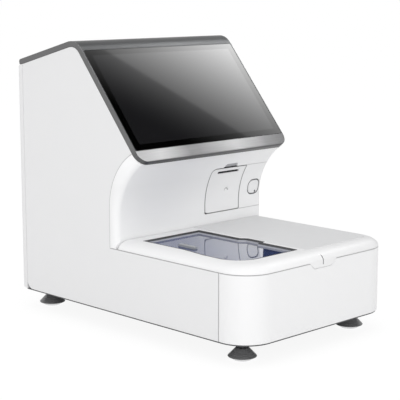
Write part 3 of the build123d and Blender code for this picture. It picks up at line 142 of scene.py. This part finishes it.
def set_inputs(tree, node, inputs):
    """Give a node's inputs plain values, or links where a value is another node's output."""
    for place, value in inputs.items():
        if isinstance(value, bpy.types.NodeSocket):
            tree.links.new(value, node.inputs[place])
        else:
            node.inputs[place].default_value = value


def add_node(tree, kind, inputs, **settings):
    """A new node with its settings and its inputs."""
    made = tree.nodes.new(kind)
    for setting, value in settings.items():
        setattr(made, setting, value)
    set_inputs(tree, made, inputs)
    return made


def maths(tree, operation, *values, clamp=False):
    """The result of one operation on values or plain numbers."""
    inputs = dict(enumerate(values))
    return add_node(tree, "ShaderNodeMath", inputs, operation=operation, use_clamp=clamp).outputs["Value"]


def dot(tree, place, direction):
    """How far a place lies along a direction."""
    inputs = {0: place, 1: direction}
    return add_node(tree, "ShaderNodeVectorMath", inputs, operation="DOT_PRODUCT").outputs["Value"]


def length(tree, first, second):
    """The length of a vector with two parts."""
    squares = maths(tree, "MULTIPLY_ADD", second, second, maths(tree, "MULTIPLY", first, first))
    return maths(tree, "SQRT", squares)


def coordinates(tree, **mapping):
    """The object's own coordinates in metres, after a scale, a turn or a shift."""
    source = add_node(tree, "ShaderNodeTexCoord", {}).outputs["Object"]
    return add_node(tree, "ShaderNodeMapping", {"Vector": source, **mapping}).outputs["Vector"]


def axes(tree, names):
    """The coordinates of a point of the object along the named axes."""
    parts = add_node(tree, "ShaderNodeSeparateXYZ", {"Vector": coordinates(tree)})
    return [parts.outputs[name] for name in names]


def ramp(tree, value, low, high, start=0.0, end=1.0, curve="LINEAR"):
    """A value that runs from start to end while another one runs from low to high."""
    inputs = {"Value": value, "From Min": low, "From Max": high, "To Min": start, "To Max": end}
    return add_node(tree, "ShaderNodeMapRange", inputs, interpolation_type=curve).outputs["Result"]


def rise_along(tree, axis, low, high):
    """A mask that rises from 0 to 1 between two places along one axis."""
    return ramp(tree, axes(tree, axis)[0], low, high)


def between(tree, value, low, high, soft=0.0003):
    """A mask that is 1 where a value lies from low to high."""
    rise = ramp(tree, value, low - soft, low + soft)
    fall = ramp(tree, value, high + soft, high - soft)
    return maths(tree, "MULTIPLY", rise, fall)


def noise(tree, scale, detail=3.0, stretch=(1.0, 1.0, 1.0)):
    """A noise value between 0 and 1, with its scale in waves per metre."""
    inputs = {"Vector": coordinates(tree, Scale=stretch), "Scale": scale, "Detail": detail}
    return add_node(tree, "ShaderNodeTexNoise", inputs).outputs["Fac"]


def spread(tree, value, low, high):
    """A noise value turned into one from low to high."""
    return ramp(tree, value, *NOISE_RANGE, low, high)


def opaque(color):
    """A plain colour with its alpha, or a linked colour as it is."""
    return (*color, 1.0) if isinstance(color, tuple) else color


def blend(tree, mask, first, second, mode="MIX"):
    """The first colour where a mask is 0 and the second, by a blend mode, where it is 1."""
    inputs = {"Factor": mask, "A": opaque(first), "B": opaque(second)}
    return add_node(tree, "ShaderNodeMix", inputs, data_type="RGBA", blend_type=mode).outputs["Result"]


def bump(tree, height, strength, distance):
    """The normal of a surface that a height value raises."""
    inputs = {"Height": height, "Strength": strength, "Distance": distance}
    return add_node(tree, "ShaderNodeBump", inputs).outputs["Normal"]


def distance_from(tree, first, second, middle):
    """How far two coordinates together lie from a middle."""
    from_first = maths(tree, "SUBTRACT", first, middle[0])
    from_second = maths(tree, "SUBTRACT", second, middle[1])
    return length(tree, from_first, from_second)


def slope_distance(tree, direction):
    """How far a point lies from the bend in the display frame along a direction of the slope."""
    return maths(tree, "SUBTRACT", dot(tree, coordinates(tree), direction), BEND_PLACE.dot(direction))


def rounded_distance(tree, middle, half, corner, upper_left=None):
    """How far a point is outside a rounded rectangle seen from the front, less than 0 inside it."""
    across, high = axes(tree, "XZ")
    from_x = maths(tree, "SUBTRACT", across, middle[0])
    from_z = maths(tree, "SUBTRACT", high, middle[1])
    radius = corner
    if upper_left is not None:
        left = maths(tree, "LESS_THAN", from_x, 0.0)
        top = maths(tree, "GREATER_THAN", from_z, 0.0)
        radius = maths(tree, "MULTIPLY_ADD", maths(tree, "MULTIPLY", left, top), upper_left - corner, corner)
    over_x = maths(tree, "SUBTRACT", maths(tree, "ABSOLUTE", from_x), half[0])
    over_z = maths(tree, "SUBTRACT", maths(tree, "ABSOLUTE", from_z), half[1])
    over_x = maths(tree, "ADD", over_x, radius)
    over_z = maths(tree, "ADD", over_z, radius)
    inside = maths(tree, "MINIMUM", maths(tree, "MAXIMUM", over_x, over_z), 0.0)
    outside = length(tree, maths(tree, "MAXIMUM", over_x, 0.0), maths(tree, "MAXIMUM", over_z, 0.0))
    return maths(tree, "SUBTRACT", maths(tree, "ADD", outside, inside), radius)


def tint(tree, mask, strength, color=SEAM_SHADOW, mode="MULTIPLY"):
    """Blend a colour over a material's own where a mask is 1, as in the shadow of a seam."""
    socket = tree.nodes["Principled BSDF"].inputs["Base Color"]
    before = socket.links[0].from_socket
    tree.links.new(blend(tree, maths(tree, "MULTIPLY", mask, strength), before, color, mode), socket)


def shade(color, factor):
    """A colour made darker or lighter by a factor."""
    return tuple(min(1.0, part * factor) for part in color)


def moulded(name, color, roughness, grain=0.00002, vary=0.012, coat=0.0):
    """Moulded or painted plastic: a fine grain, slow changes of tone and uneven gloss."""
    made, tree, shader = new_material(name)
    slow = noise(tree, scale=5.0, detail=2.0)
    fine = noise(tree, scale=1800.0, detail=2.0)
    patches = noise(tree, scale=38.0)
    set_inputs(tree, shader, {
        "Base Color": blend(tree, slow, shade(color, 1 - vary), shade(color, 1 + vary)),
        "Roughness": spread(tree, patches, roughness - 0.04, roughness + 0.04),
        "Normal": bump(tree, fine, strength=0.35, distance=grain),
        "Coat Weight": coat,
        "Coat Roughness": 0.12,
    })
    return made


def metal(name, color, roughness, streak=(1.0, 1.0, 1.0), scale=900.0, depth=0.00002):
    """Bare metal with drawn or machined streaks."""
    made, tree, shader = new_material(name)
    streaks = noise(tree, scale, detail=4.0, stretch=streak)
    slow = noise(tree, scale=9.0, detail=2.0)
    set_inputs(tree, shader, {
        "Base Color": blend(tree, streaks, shade(color, 0.94), shade(color, 1.06)),
        "Roughness": spread(tree, slow, roughness - 0.05, roughness + 0.05),
        "Normal": bump(tree, streaks, strength=0.4, distance=depth),
        "Metallic": 1.0,
    })
    return made


def black_rubber(name):
    """Matte rubber with a fine pebbled skin."""
    color = (0.022, 0.022, 0.026)
    made, tree, shader = new_material(name)
    cells = add_node(tree, "ShaderNodeTexVoronoi", {"Vector": coordinates(tree), "Scale": 1500.0})
    patches = noise(tree, scale=60.0)
    set_inputs(tree, shader, {
        "Base Color": blend(tree, patches, shade(color, 0.8), shade(color, 1.3)),
        "Roughness": 0.75,
        "Normal": bump(tree, cells.outputs["Distance"], strength=0.3, distance=0.00006),
    })
    return made


# Tones of the display frame between its streaks and on them: lit and shaded copies of one metal, with painted
# shade on the top and brow, a painted shine as the polished tone and painted shade as the lower tone
FRAME_LIT_AND_SHADED_TONES = {
    "top": ((0.028, 0.029, 0.031), (0.044, 0.046, 0.048)),
    "brow": ((0.056, 0.057, 0.059), (0.074, 0.076, 0.078)),
    "side": ((0.150, 0.150, 0.152), (0.180, 0.180, 0.182)),
    # The lower tone is painted shade, beneath the chin and on its right
    "lower": ((0.105, 0.105, 0.107), (0.140, 0.140, 0.142)),
    "brushed": ((0.190, 0.190, 0.194), (0.275, 0.275, 0.280)),
    # The polished tone is a painted shine, a painted reflection on the chin; the finish stays the same
    "polished": ((0.48, 0.48, 0.485), (0.64, 0.64, 0.645)),
}


def frame_metal(name):
    """The brushed dark display frame, painted in a lit or shaded tone for each face: a painted shine on the
    chin under the glass and painted shade beneath it.
    """
    made, tree, shader = new_material(name)
    streaks = noise(tree, scale=700.0, detail=5.0, stretch=(0.03, 1.0, 1.0))
    slow = noise(tree, scale=6.0, detail=2.0)
    lit_and_shaded_tones = {part: blend(tree, streaks, *pair) for part, pair in FRAME_LIT_AND_SHADED_TONES.items()}
    along = slope_distance(tree, SLOPE_ALONG)
    out = slope_distance(tree, SLOPE_OUT)
    chin = between(tree, along, -FAR, CHIN_TOP, soft=0.0004)
    flank = between(tree, maths(tree, "ABSOLUTE", axes(tree, "X")[0]), FRAME_SIDE, FAR)
    behind = between(tree, out, -FAR, FRAME_FACE, soft=0.0002)
    # Painted shade on the chin's underside, behind its front face
    under = maths(tree, "MULTIPLY", behind, between(tree, along, -FAR, CHIN_TOP, soft=0.0100))

    # Painted shine and gleam: the chin is painted lighter on the left and in the middle and dimmer on the
    # right, standing in for reflections
    painted_gleam = maths(tree, "MULTIPLY", rise_along(tree, "X", *PAINTED_GLEAM_RISE), rise_along(tree, "X", *PAINTED_GLEAM_FALL))
    painted_gleam = maths(tree, "MULTIPLY", painted_gleam, PAINTED_GLEAM_STRENGTH)
    painted_shine = maths(tree, "MAXIMUM", rise_along(tree, "X", *PAINTED_SHINE_LEFT), painted_gleam)
    brushed = blend(tree, rise_along(tree, "X", *PAINTED_DIM_RIGHT), lit_and_shaded_tones["brushed"], lit_and_shaded_tones["lower"])
    front = blend(tree, painted_shine, brushed, lit_and_shaded_tones["polished"])

    # Painted shade: the top is darkest at the bend and lighter down the brow
    top = blend(tree, ramp(tree, along, *BROW), lit_and_shaded_tones["top"], lit_and_shaded_tones["brow"])
    tone = blend(tree, chin, top, front)
    tone = blend(tree, flank, tone, lit_and_shaded_tones["side"])
    set_inputs(tree, shader, {
        "Base Color": blend(tree, under, tone, lit_and_shaded_tones["lower"]),
        "Roughness": spread(tree, slow, 0.30, 0.40),
        "Normal": bump(tree, streaks, strength=0.3, distance=0.00002),
        "Metallic": 0.85,
    })
    return made


def touch_glass(name):
    """Black touch glass: a printed border round the slightly lighter display area."""
    made, tree, shader = new_material(name)
    tall = maths(tree, "ABSOLUTE", maths(tree, "SUBTRACT", slope_distance(tree, SLOPE_ALONG), DISPLAY_MIDDLE))
    wide = maths(tree, "ABSOLUTE", axes(tree, "X")[0])
    in_wide = maths(tree, "LESS_THAN", wide, DISPLAY_HALF[0])
    in_tall = maths(tree, "LESS_THAN", tall, DISPLAY_HALF[1])
    display = maths(tree, "MULTIPLY", in_tall, in_wide)
    smears = noise(tree, scale=14.0, detail=4.0)
    set_inputs(tree, shader, {
        "Base Color": blend(tree, display, (0.001, 0.001, 0.001), (0.010, 0.010, 0.011)),
        "Roughness": spread(tree, smears, 0.03, 0.07),
        "IOR": 1.45,
        "Coat Weight": ramp(tree, display, 0.0, 1.0, start=0.78, end=1.0),
        "Coat Roughness": 0.03,
    })
    return made


def tinted_window(name):
    """Navy tinted glazing that mirrors the wall at a low angle and lets some light through, painted paler to
    the left and deeper navy towards the right as painted light and shade.
    """
    made, tree, shader = new_material(name)
    slow = noise(tree, scale=7.0, detail=2.0)
    pale = blend(tree, slow, (0.12, 0.16, 0.38), (0.14, 0.19, 0.42))
    deep_navy = blend(tree, slow, (0.05, 0.07, 0.20), (0.06, 0.08, 0.22))
    smears = noise(tree, scale=25.0, detail=4.0)
    sideways = dot(tree, coordinates(tree), WINDOW_SIDEWAYS)
    set_inputs(tree, shader, {
        # Painted light and shade: paler glazing to the left, deeper navy towards the right
        "Base Color": blend(tree, rise_along(tree, "X", *WINDOW_PAINTED_SHADE), pale, deep_navy),
        "Roughness": spread(tree, smears, 0.0, 0.03),
        "IOR": 1.5,
        "Transmission Weight": 0.62,
        "Coat Weight": ramp(tree, sideways, *WINDOW_SHINES),
        "Coat IOR": 2.0,
    })
    return made


def foot_metal(name):
    """Levelling foot: a satin black cone over a polished steel lower edge."""
    made, tree, shader = new_material(name)
    turned = noise(tree, scale=500.0, stretch=(0.1, 0.1, 1.0))
    cone = rise_along(tree, "Z", *FOOT_RIM)
    polished = blend(tree, turned, (0.60, 0.60, 0.61), (0.70, 0.70, 0.71))
    black = blend(tree, turned, (0.140, 0.140, 0.143), (0.160, 0.160, 0.163))
    set_inputs(tree, shader, {
        "Base Color": blend(tree, cone, polished, black),
        "Roughness": spread(tree, turned, 0.22, 0.34),
        "Normal": bump(tree, turned, strength=0.06, distance=0.00002),
        "Metallic": ramp(tree, cone, 0.0, 1.0, start=1.0, end=0.15),
    })
    return made


def window_gasket(name):
    """Two-tone gasket: a black sloping lip round the opening over a grey-blue wall."""
    made, tree, shader = new_material(name)
    grain = noise(tree, scale=400.0)
    wall_foot = blend(tree, grain, (0.53, 0.54, 0.59), (0.57, 0.58, 0.63))
    wall_top = blend(tree, grain, (0.38, 0.39, 0.43), (0.42, 0.43, 0.47))
    wall = blend(tree, rise_along(tree, "Z", *GASKET_WALL), wall_foot, wall_top)
    lip = blend(tree, grain, (0.012, 0.012, 0.015), (0.022, 0.022, 0.026))
    set_inputs(tree, shader, {
        "Base Color": blend(tree, rise_along(tree, "Z", *GASKET_LIP), wall, lip),
        "Roughness": 0.6,
        "Normal": bump(tree, grain, strength=0.25, distance=0.00004),
    })
    return made


def circuit_board(name):
    """Green board with lighter tracks."""
    made, tree, shader = new_material(name)
    tracks = add_node(tree, "ShaderNodeTexBrick", {
        "Vector": coordinates(tree, Rotation=(math.pi / 2, 0.0, 0.0)),
        "Scale": 160.0,
        "Mortar Size": 0.06,
        "Color1": opaque((0.015, 0.09, 0.035)),
        "Color2": opaque((0.02, 0.11, 0.045)),
        "Mortar": opaque((0.08, 0.24, 0.10)),
    })
    set_inputs(tree, shader, {"Base Color": tracks.outputs["Color"], "Roughness": 0.45})
    return made


def wound_paper(name):
    """Wound paper, with fine rings round the axle of the roll."""
    made, tree, shader = new_material(name)
    from_axle = coordinates(tree, Location=[-part for part in ROLL_AXLE])
    inputs = {"Vector": from_axle, "Scale": 260.0, "Distortion": 0.6}
    rings = add_node(tree, "ShaderNodeTexWave", inputs, wave_type="RINGS", rings_direction="X").outputs["Fac"]
    set_inputs(tree, shader, {
        "Base Color": blend(tree, rings, (0.72, 0.71, 0.68), (0.84, 0.83, 0.81)),
        "Roughness": 0.9,
        "Normal": bump(tree, rings, strength=0.3, distance=0.00004),
    })
    return made


MOULDED = {
    "side_white": {"color": (0.800, 0.800, 0.806), "roughness": 0.42},
    "front_white": {"color": (0.835, 0.835, 0.840), "roughness": 0.40},
    "wall_white": {"color": (0.855, 0.857, 0.862), "roughness": 0.42},
    "lid_white": {"color": (0.845, 0.845, 0.850), "roughness": 0.45},
    "panel_grey": {"color": (0.700, 0.702, 0.708), "roughness": 0.50, "grain": 0.00004},
    "door_grey": {"color": (0.840, 0.841, 0.846), "roughness": 0.40},
    "key_white": {"color": (0.820, 0.822, 0.828), "roughness": 0.30, "coat": 0.2},
    "ring_grey": {"color": (0.330, 0.340, 0.360), "roughness": 0.45},
    "light_dark": {"color": (0.030, 0.032, 0.038), "roughness": 0.15, "coat": 0.5},
    "chassis_steel": {"color": (0.070, 0.071, 0.074), "roughness": 0.55, "grain": 0.00008, "vary": 0.08},
    "bay_grey": {"color": (0.16, 0.17, 0.20), "roughness": 0.50, "grain": 0.00005, "vary": 0.03},
    "tray_grey": {"color": (0.30, 0.31, 0.33), "roughness": 0.45, "vary": 0.02},
    "strip_white": {"color": (0.72, 0.72, 0.70), "roughness": 0.30, "coat": 0.3},
    "black_plastic": {"color": (0.020, 0.020, 0.022), "roughness": 0.50, "grain": 0.00006, "vary": 0.08},
}
METALS = {
    "display_grey": {"color": (0.30, 0.30, 0.31), "roughness": 0.45, "streak": (1.0, 0.1, 1.0)},
    "frame_steel": {"color": (0.46, 0.47, 0.48), "roughness": 0.38, "streak": (1.0, 0.06, 1.0)},
    "steel": {"color": (0.58, 0.58, 0.59), "roughness": 0.24, "streak": (0.2, 0.2, 1.0), "scale": 1400.0},
    "dark_steel": {"color": (0.1, 0.1, 0.105), "roughness": 0.30, "streak": (1.0, 1.0, 4.0), "scale": 1200.0},
    "aluminium": {"color": (0.62, 0.63, 0.64), "roughness": 0.38, "scale": 2400.0, "depth": 0.00004},
}
SPECIAL = {
    "tinted_clear": tinted_window,
    "rubber_black": black_rubber,
    "band_metal": frame_metal,
    "screen_black": touch_glass,
    "board_green": circuit_board,
    "paper_white": wound_paper,
    "foot_black": foot_metal,
}
MATERIALS = {name: moulded(name, **look) for name, look in MOULDED.items()}
MATERIALS.update({name: metal(name, **look) for name, look in METALS.items()})
MATERIALS.update({name: make(name) for name, make in SPECIAL.items()})

# Nodes whose look differs from the rest of their slot
OWN_LOOK = {
    "lid_gasket": window_gasket("window_gasket"),
    # The button's ring is painted dark, a painted shade in its groove
    "power_button_ring": moulded("ring_painted_shade", (0.100, 0.102, 0.108), 0.45),
    # The finger scoop is painted grey, a painted shade in its recess
    "finger_scoop": moulded("scoop_painted_shade", (0.420, 0.425, 0.440), 0.45),
}


def shade_cover_seams(tree):
    """Darken a cover next to its seams with the lid, the front cover and the recess wall."""
    deep, high = axes(tree, "YZ")
    before_back = between(tree, deep, -FAR, LID_SEAM_BACK)
    beside_lid = maths(tree, "MULTIPLY", between(tree, high, *LID_SEAM), before_back)
    below_lid = between(tree, high, 0.0, LID_SEAM[1])
    beside_front = maths(tree, "MULTIPLY", between(tree, deep, *FRONT_SEAM), below_lid)
    tint(tree, maths(tree, "MAXIMUM", beside_lid, beside_front), strength=0.42)

    from_axis = distance_from(tree, deep, maths(tree, "MAXIMUM", high, RECESS_AXIS[1]), RECESS_AXIS)
    above_foot = between(tree, high, RECESS_FOOT, FAR)
    arc = maths(tree, "MULTIPLY", between(tree, from_axis, *RECESS_SEAM), above_foot)
    tint(tree, maths(tree, "MULTIPLY", arc, between(tree, deep, RECESS_FRONT, FAR)), strength=0.38)


def shade_lid(tree):
    """Tone the lid down slightly towards its right, where the front light is strongest."""
    tint(tree, rise_along(tree, "X", *LID_DIMS), strength=0.07)
    tree.nodes["Principled BSDF"].inputs["Specular IOR Level"].default_value = 0.25


def shade_wall_lines(tree):
    """Paint shade on the recess wall round the door, the button and the insert, and paint light on it under
    the chin against the chin's shadow.
    """
    across, high = axes(tree, "XZ")
    opening = between(tree, rounded_distance(tree, **DOOR_OPENING), -LINE_REACH, OPENING_LINE)
    line = maths(tree, "MULTIPLY", opening, between(tree, across, 0.0, INSERT_LEFT))
    rim = between(tree, rounded_distance(tree, **BUTTON_OUTLINE), -LINE_REACH, BUTTON_LINE)
    tint(tree, maths(tree, "MAXIMUM", line, rim), strength=0.50)

    edges = maths(tree, "MAXIMUM", *(between(tree, high, *edge) for edge in INSERT_EDGES))
    tint(tree, maths(tree, "MULTIPLY", edges, between(tree, across, INSERT_LEFT, FAR)), strength=0.30)
    tint(tree, rise_along(tree, "Z", *PAINTED_LIGHT_UNDER_CHIN), strength=0.9, color=(0.96, 0.96, 0.965), mode="LIGHTEN")


def shade_key(tree):
    """Darken the power button round its light."""
    away = distance_from(tree, *axes(tree, "XZ"), KEY_LIGHT)
    tint(tree, between(tree, away, -FAR, KEY_LIGHT_RADIUS), strength=0.85)


def shade_door(tree):
    """Paint shade on the printer door's edge and on the shaded side of its dimple."""
    across, high = axes(tree, "XZ")
    edge = between(tree, rounded_distance(tree, **DOOR_OUTLINE), DOOR_LINE, LINE_REACH)
    ring = between(tree, distance_from(tree, across, high, DIMPLE), *DIMPLE_EDGE)
    upper_half = between(tree, high, DIMPLE[1], DIMPLE[1] + LINE_REACH)
    # Painted shade in the gap round the door
    tint(tree, edge, strength=0.50)
    tint(tree, maths(tree, "MULTIPLY", ring, upper_half), strength=0.45)


SHADING = {
    "side_white": shade_cover_seams,
    "front_white": shade_cover_seams,
    "lid_white": shade_lid,
    "wall_white": shade_wall_lines,
    "door_grey": shade_door,
    "key_white": shade_key,
}
for slot_name, add_shading in SHADING.items():
    add_shading(MATERIALS[slot_name].node_tree)

SLOT_OF = {part["node"]: part["material_slot"] for part in frame["record"]["subparts"]}
for node_name, node_object in frame["nodes"].items():
    node_object.data.materials.clear()
    node_object.data.materials.append(OWN_LOOK.get(node_name, MATERIALS[SLOT_OF[node_name]]))

# An edge that turns by more than this stays sharp, and points nearer than this are joined
SHARP_TURN = math.radians(28)
JOIN_DISTANCE = 0.00002


def smooth_shading(shape):
    """Shade a shape smoothly between its sharp edges."""
    for face in shape.faces:
        face.smooth = True
    for edge in shape.edges:
        edge.smooth = len(edge.link_faces) == 2 and edge.calc_face_angle(0.0) < SHARP_TURN


def add_object(name, shape):
    """A new object of the scene from a finished shape."""
    mesh = bpy.data.meshes.new(name)
    shape.to_mesh(mesh)
    shape.free()
    made = bpy.data.objects.new(name, mesh)
    scene.collection.objects.link(made)
    return made


def smooth_copy(name, node, body, lift=0.0, above=0.0):
    """A copy of a CAD node with fresh shading normals and its own material, lifted above a height."""
    source = frame["nodes"][node]
    shape = bmesh.new()
    shape.from_mesh(source.data)
    bmesh.ops.remove_doubles(shape, verts=shape.verts, dist=JOIN_DISTANCE)
    bmesh.ops.dissolve_degenerate(shape, edges=shape.edges, dist=JOIN_DISTANCE)
    for corner in shape.verts:
        if corner.co.z > above:
            corner.co.z += lift
    smooth_shading(shape)
    made = add_object(name, shape)
    made.data.materials.append(source.data.materials[0])
    weigh = made.modifiers.new("even_normals", "WEIGHTED_NORMAL")
    weigh.keep_sharp = True
    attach(made, body)
    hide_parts(node)


smooth_copy("lid_skin", "lid_frame", "lid")
smooth_copy("window_pane", "lid_window", "lid", lift=0.0020, above=0.1685)
smooth_copy("window_bar", "window_strip", "lid", lift=0.0015)

# Outline of the window in the lid, counter-clockwise, with the radius of each corner
WINDOW_CORNERS = (
    (-0.1630, -0.0140, 0.0), (-0.1630, -0.1260, 0.0), (-0.1705, -0.1830, 0.0), (-0.1705, -0.2700, 0.048),
    (-0.0145, -0.2700, 0.005), (-0.0145, -0.1830, 0.0), (-0.0050, -0.1790, 0.0), (-0.0050, -0.1360, 0.0),
    (-0.0145, -0.1240, 0.0), (-0.0145, -0.0140, 0.0),
)
CORNER_STEPS = 12
LEAST_RADIUS = 0.0005


def inset_outline(corners, inset):
    """The outline moved inward by an inset, with its round corners as short steps."""
    count = len(corners)
    moved = []
    for place in range(count):
        here = Vector(corners[place][:2])
        before = (here - Vector(corners[place - 1][:2])).normalized()
        after = (Vector(corners[(place + 1) % count][:2]) - here).normalized()
        inward = Vector((-before.y - after.y, before.x + after.x)).normalized()
        moved.append(here + inward * (inset / inward.dot(Vector((-before.y, before.x)))))
    points = []
    for place in range(count):
        if not corners[place][2]:
            points.append(moved[place])
            continue
        radius = max(corners[place][2] - inset, LEAST_RADIUS)
        before = (moved[place - 1] - moved[place]).normalized()
        after = (moved[(place + 1) % count] - moved[place]).normalized()
        middle = moved[place] + (before + after) * radius
        for step in range(CORNER_STEPS + 1):
            turn = math.pi / 2 * step / CORNER_STEPS
            points.append(middle - after * radius * math.cos(turn) - before * radius * math.sin(turn))
    return points


def swept_ring(name, corners, profile):
    """A closed ring whose cross-section, as insets and heights, follows an outline."""
    shape = bmesh.new()
    rows = []
    for inset, height in profile:
        rows.append([shape.verts.new((point.x, point.y, height)) for point in inset_outline(corners, inset)])
    for row in range(len(rows)):
        first, second = rows[row], rows[(row + 1) % len(rows)]
        for place in range(len(first)):
            following = (place + 1) % len(first)
            shape.faces.new((first[place], first[following], second[following], second[place]))
    bmesh.ops.recalc_face_normals(shape, faces=shape.faces)
    smooth_shading(shape)
    return add_object(name, shape)


# Gasket with a lip that slopes down to the glass round the whole window
GASKET_PROFILE = (
    (0.0001, 0.1672), (0.0001, 0.1766), (0.0003, 0.1769), (0.0007, 0.1771), (0.0080, 0.1757),
    (0.0084, 0.1755), (0.0085, 0.1752), (0.0085, 0.1721), (0.0023, 0.1721), (0.0023, 0.1672),
)
gasket = swept_ring("window_lip", WINDOW_CORNERS, GASKET_PROFILE)
gasket.data.materials.append(OWN_LOOK["lid_gasket"])
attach(gasket, "lid")
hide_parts("lid_gasket")


def background_rays(tree):
    """1 for rays that show the background, from the camera, off gloss and through glass, and 0 for others."""
    path = add_node(tree, "ShaderNodeLightPath", {})
    seen = maths(tree, "MAXIMUM", path.outputs["Is Camera Ray"], path.outputs["Is Glossy Ray"])
    return maths(tree, "MAXIMUM", seen, path.outputs["Is Transmission Ray"])


# The world is white to look at and a little darker as a light
WORLD_LIGHT = 0.84
world = bpy.data.worlds.new("studio")
scene.world = world
world.use_nodes = True
set_inputs(world.node_tree, world.node_tree.nodes["Background"], {
    "Color": opaque(WHITE),
    "Strength": ramp(world.node_tree, background_rays(world.node_tree), 0.0, 1.0, start=WORLD_LIGHT, end=1.0),
})

FLOOR_HALF = 30.0
FLOOR_GLOW = 0.90


def floor_material():
    """Pale floor that keeps a soft shadow and reads as white where it is lit."""
    made, tree, shader = new_material("floor_pale")
    grain = noise(tree, scale=3.0, detail=2.0)
    lit = blend(tree, grain, (0.80, 0.80, 0.80), (0.82, 0.82, 0.82))
    seen = background_rays(tree)
    set_inputs(tree, shader, {
        "Base Color": blend(tree, seen, lit, (0.12, 0.12, 0.12)),
        "Roughness": 1.0,
        "Specular IOR Level": 0.0,
        "Emission Color": opaque(WHITE),
        "Emission Strength": maths(tree, "MULTIPLY", seen, FLOOR_GLOW),
    })
    return made


def flat_object(name, half_x, half_y):
    """A flat rectangle centred on its origin."""
    shape = bmesh.new()
    bmesh.ops.create_grid(shape, x_segments=1, y_segments=1, size=1.0)
    bmesh.ops.scale(shape, vec=(half_x, half_y, 1.0), verts=shape.verts)
    return add_object(name, shape)


floor = flat_object("floor", FLOOR_HALF, FLOOR_HALF)
floor.data.materials.append(floor_material())


def area_light(name, place, aim, width, height, power):
    """A soft panel of light that points at a place."""
    data = bpy.data.lights.new(name, "AREA")
    data.shape = "RECTANGLE"
    data.size = width
    data.size_y = height
    data.energy = power
    made = bpy.data.objects.new(name, data)
    scene.collection.objects.link(made)
    made.location = place
    made.rotation_euler = (Vector(aim) - Vector(place)).to_track_quat("-Z", "Y").to_euler()


area_light("top_panel", (-0.7, -0.4, 3.0), (0.0, 0.0, 0.2), width=2.6, height=2.6, power=11.0)
area_light("front_panel", (-2.6, -3.0, 0.95), (0.0, 0.0, 0.25), width=2.6, height=1.5, power=44.0)


def card(name, place, aim, width, height, material):
    """A flat card of the studio that only glossy surfaces see."""
    made = flat_object(name, width / 2, height / 2)
    made.location = place
    made.rotation_euler = (Vector(aim) - Vector(place)).to_track_quat("Z", "Y").to_euler()
    made.data.materials.append(material)
    made.visible_camera = False
    made.visible_diffuse = False
    made.visible_shadow = False
    made.visible_transmission = False


# How far each card stands from the place that mirrors it, before any shift
CARD_AWAY = 1.5

# A soft light up on the right that the screen mirrors, bright at its back edge and black at the front
SCREEN_MIDDLE = Vector((0.0, 0.0368, 0.4380))
SCREEN_MIRRORS = Vector((0.692, -0.214, 0.690)).normalized()
LIGHT_SIZE = 0.9
LIGHT_ACROSS = Vector((0.2953, 0.9554, 0.0002))
LIGHT_UPWARD = Vector((-0.6590, 0.2036, 0.7241))
FADE = 2.156 * LIGHT_ACROSS - 0.294 * LIGHT_UPWARD
FADE_MIDDLE = 0.330
EDGE = 1.412 * LIGHT_ACROSS - 0.299 * LIGHT_UPWARD
EDGE_MIDDLE = 0.028
EDGE_SOFT = 0.004
EDGE_STEP = 0.080
LIGHT_CURVE = 2.2
LIGHT_PEAK = 9.0


def fading_light(name, middle):
    """The face of a soft light that fades to black along one direction, with one soft edge across it."""
    made, tree, shader = new_material(name)
    place = add_node(tree, "ShaderNodeNewGeometry", {}).outputs["Position"]

    def along(direction, at_middle):
        """A value that grows along a direction and is known at the light's middle."""
        return maths(tree, "ADD", dot(tree, place, direction), at_middle - direction.dot(middle))

    edge = along(EDGE, EDGE_MIDDLE)
    step = ramp(tree, edge, -EDGE_SOFT, EDGE_SOFT, start=0.0, end=EDGE_STEP, curve="SMOOTHSTEP")
    level = maths(tree, "ADD", along(FADE, FADE_MIDDLE), step, clamp=True)
    set_inputs(tree, shader, {
        "Base Color": opaque(BLACK),
        "Specular IOR Level": 0.0,
        "Emission Color": opaque(WHITE),
        "Emission Strength": maths(tree, "MULTIPLY", maths(tree, "POWER", level, LIGHT_CURVE), LIGHT_PEAK),
    })
    return made


light_middle = SCREEN_MIDDLE + SCREEN_MIRRORS * CARD_AWAY
light_face = fading_light("soft_light_face", light_middle)
card("soft_light", light_middle, SCREEN_MIDDLE, LIGHT_SIZE, LIGHT_SIZE, light_face)

# A dark backdrop behind on the right that the window mirrors past the tower
WINDOW_CORNER = Vector((-0.03, -0.12, 0.170))
WINDOW_MIRRORS = Vector((0.69, 0.70, 0.17))
BACKDROP_SHIFT = Vector((0.4360, -0.4295, 0.0))
BACKDROP_SIZE = (1.0, 0.5)


def dark_cloth(name):
    """Dark navy backdrop cloth with a fine weave."""
    made, tree, shader = new_material(name)
    weave = noise(tree, scale=300.0, detail=2.0)
    set_inputs(tree, shader, {
        "Base Color": blend(tree, weave, (0.010, 0.014, 0.030), (0.020, 0.026, 0.050)),
        "Roughness": 1.0,
        "Specular IOR Level": 0.0,
    })
    return made


backdrop_middle = WINDOW_CORNER + CARD_AWAY * WINDOW_MIRRORS + BACKDROP_SHIFT
card("dark_backdrop", backdrop_middle, WINDOW_CORNER, *BACKDROP_SIZE, dark_cloth("backdrop_navy"))
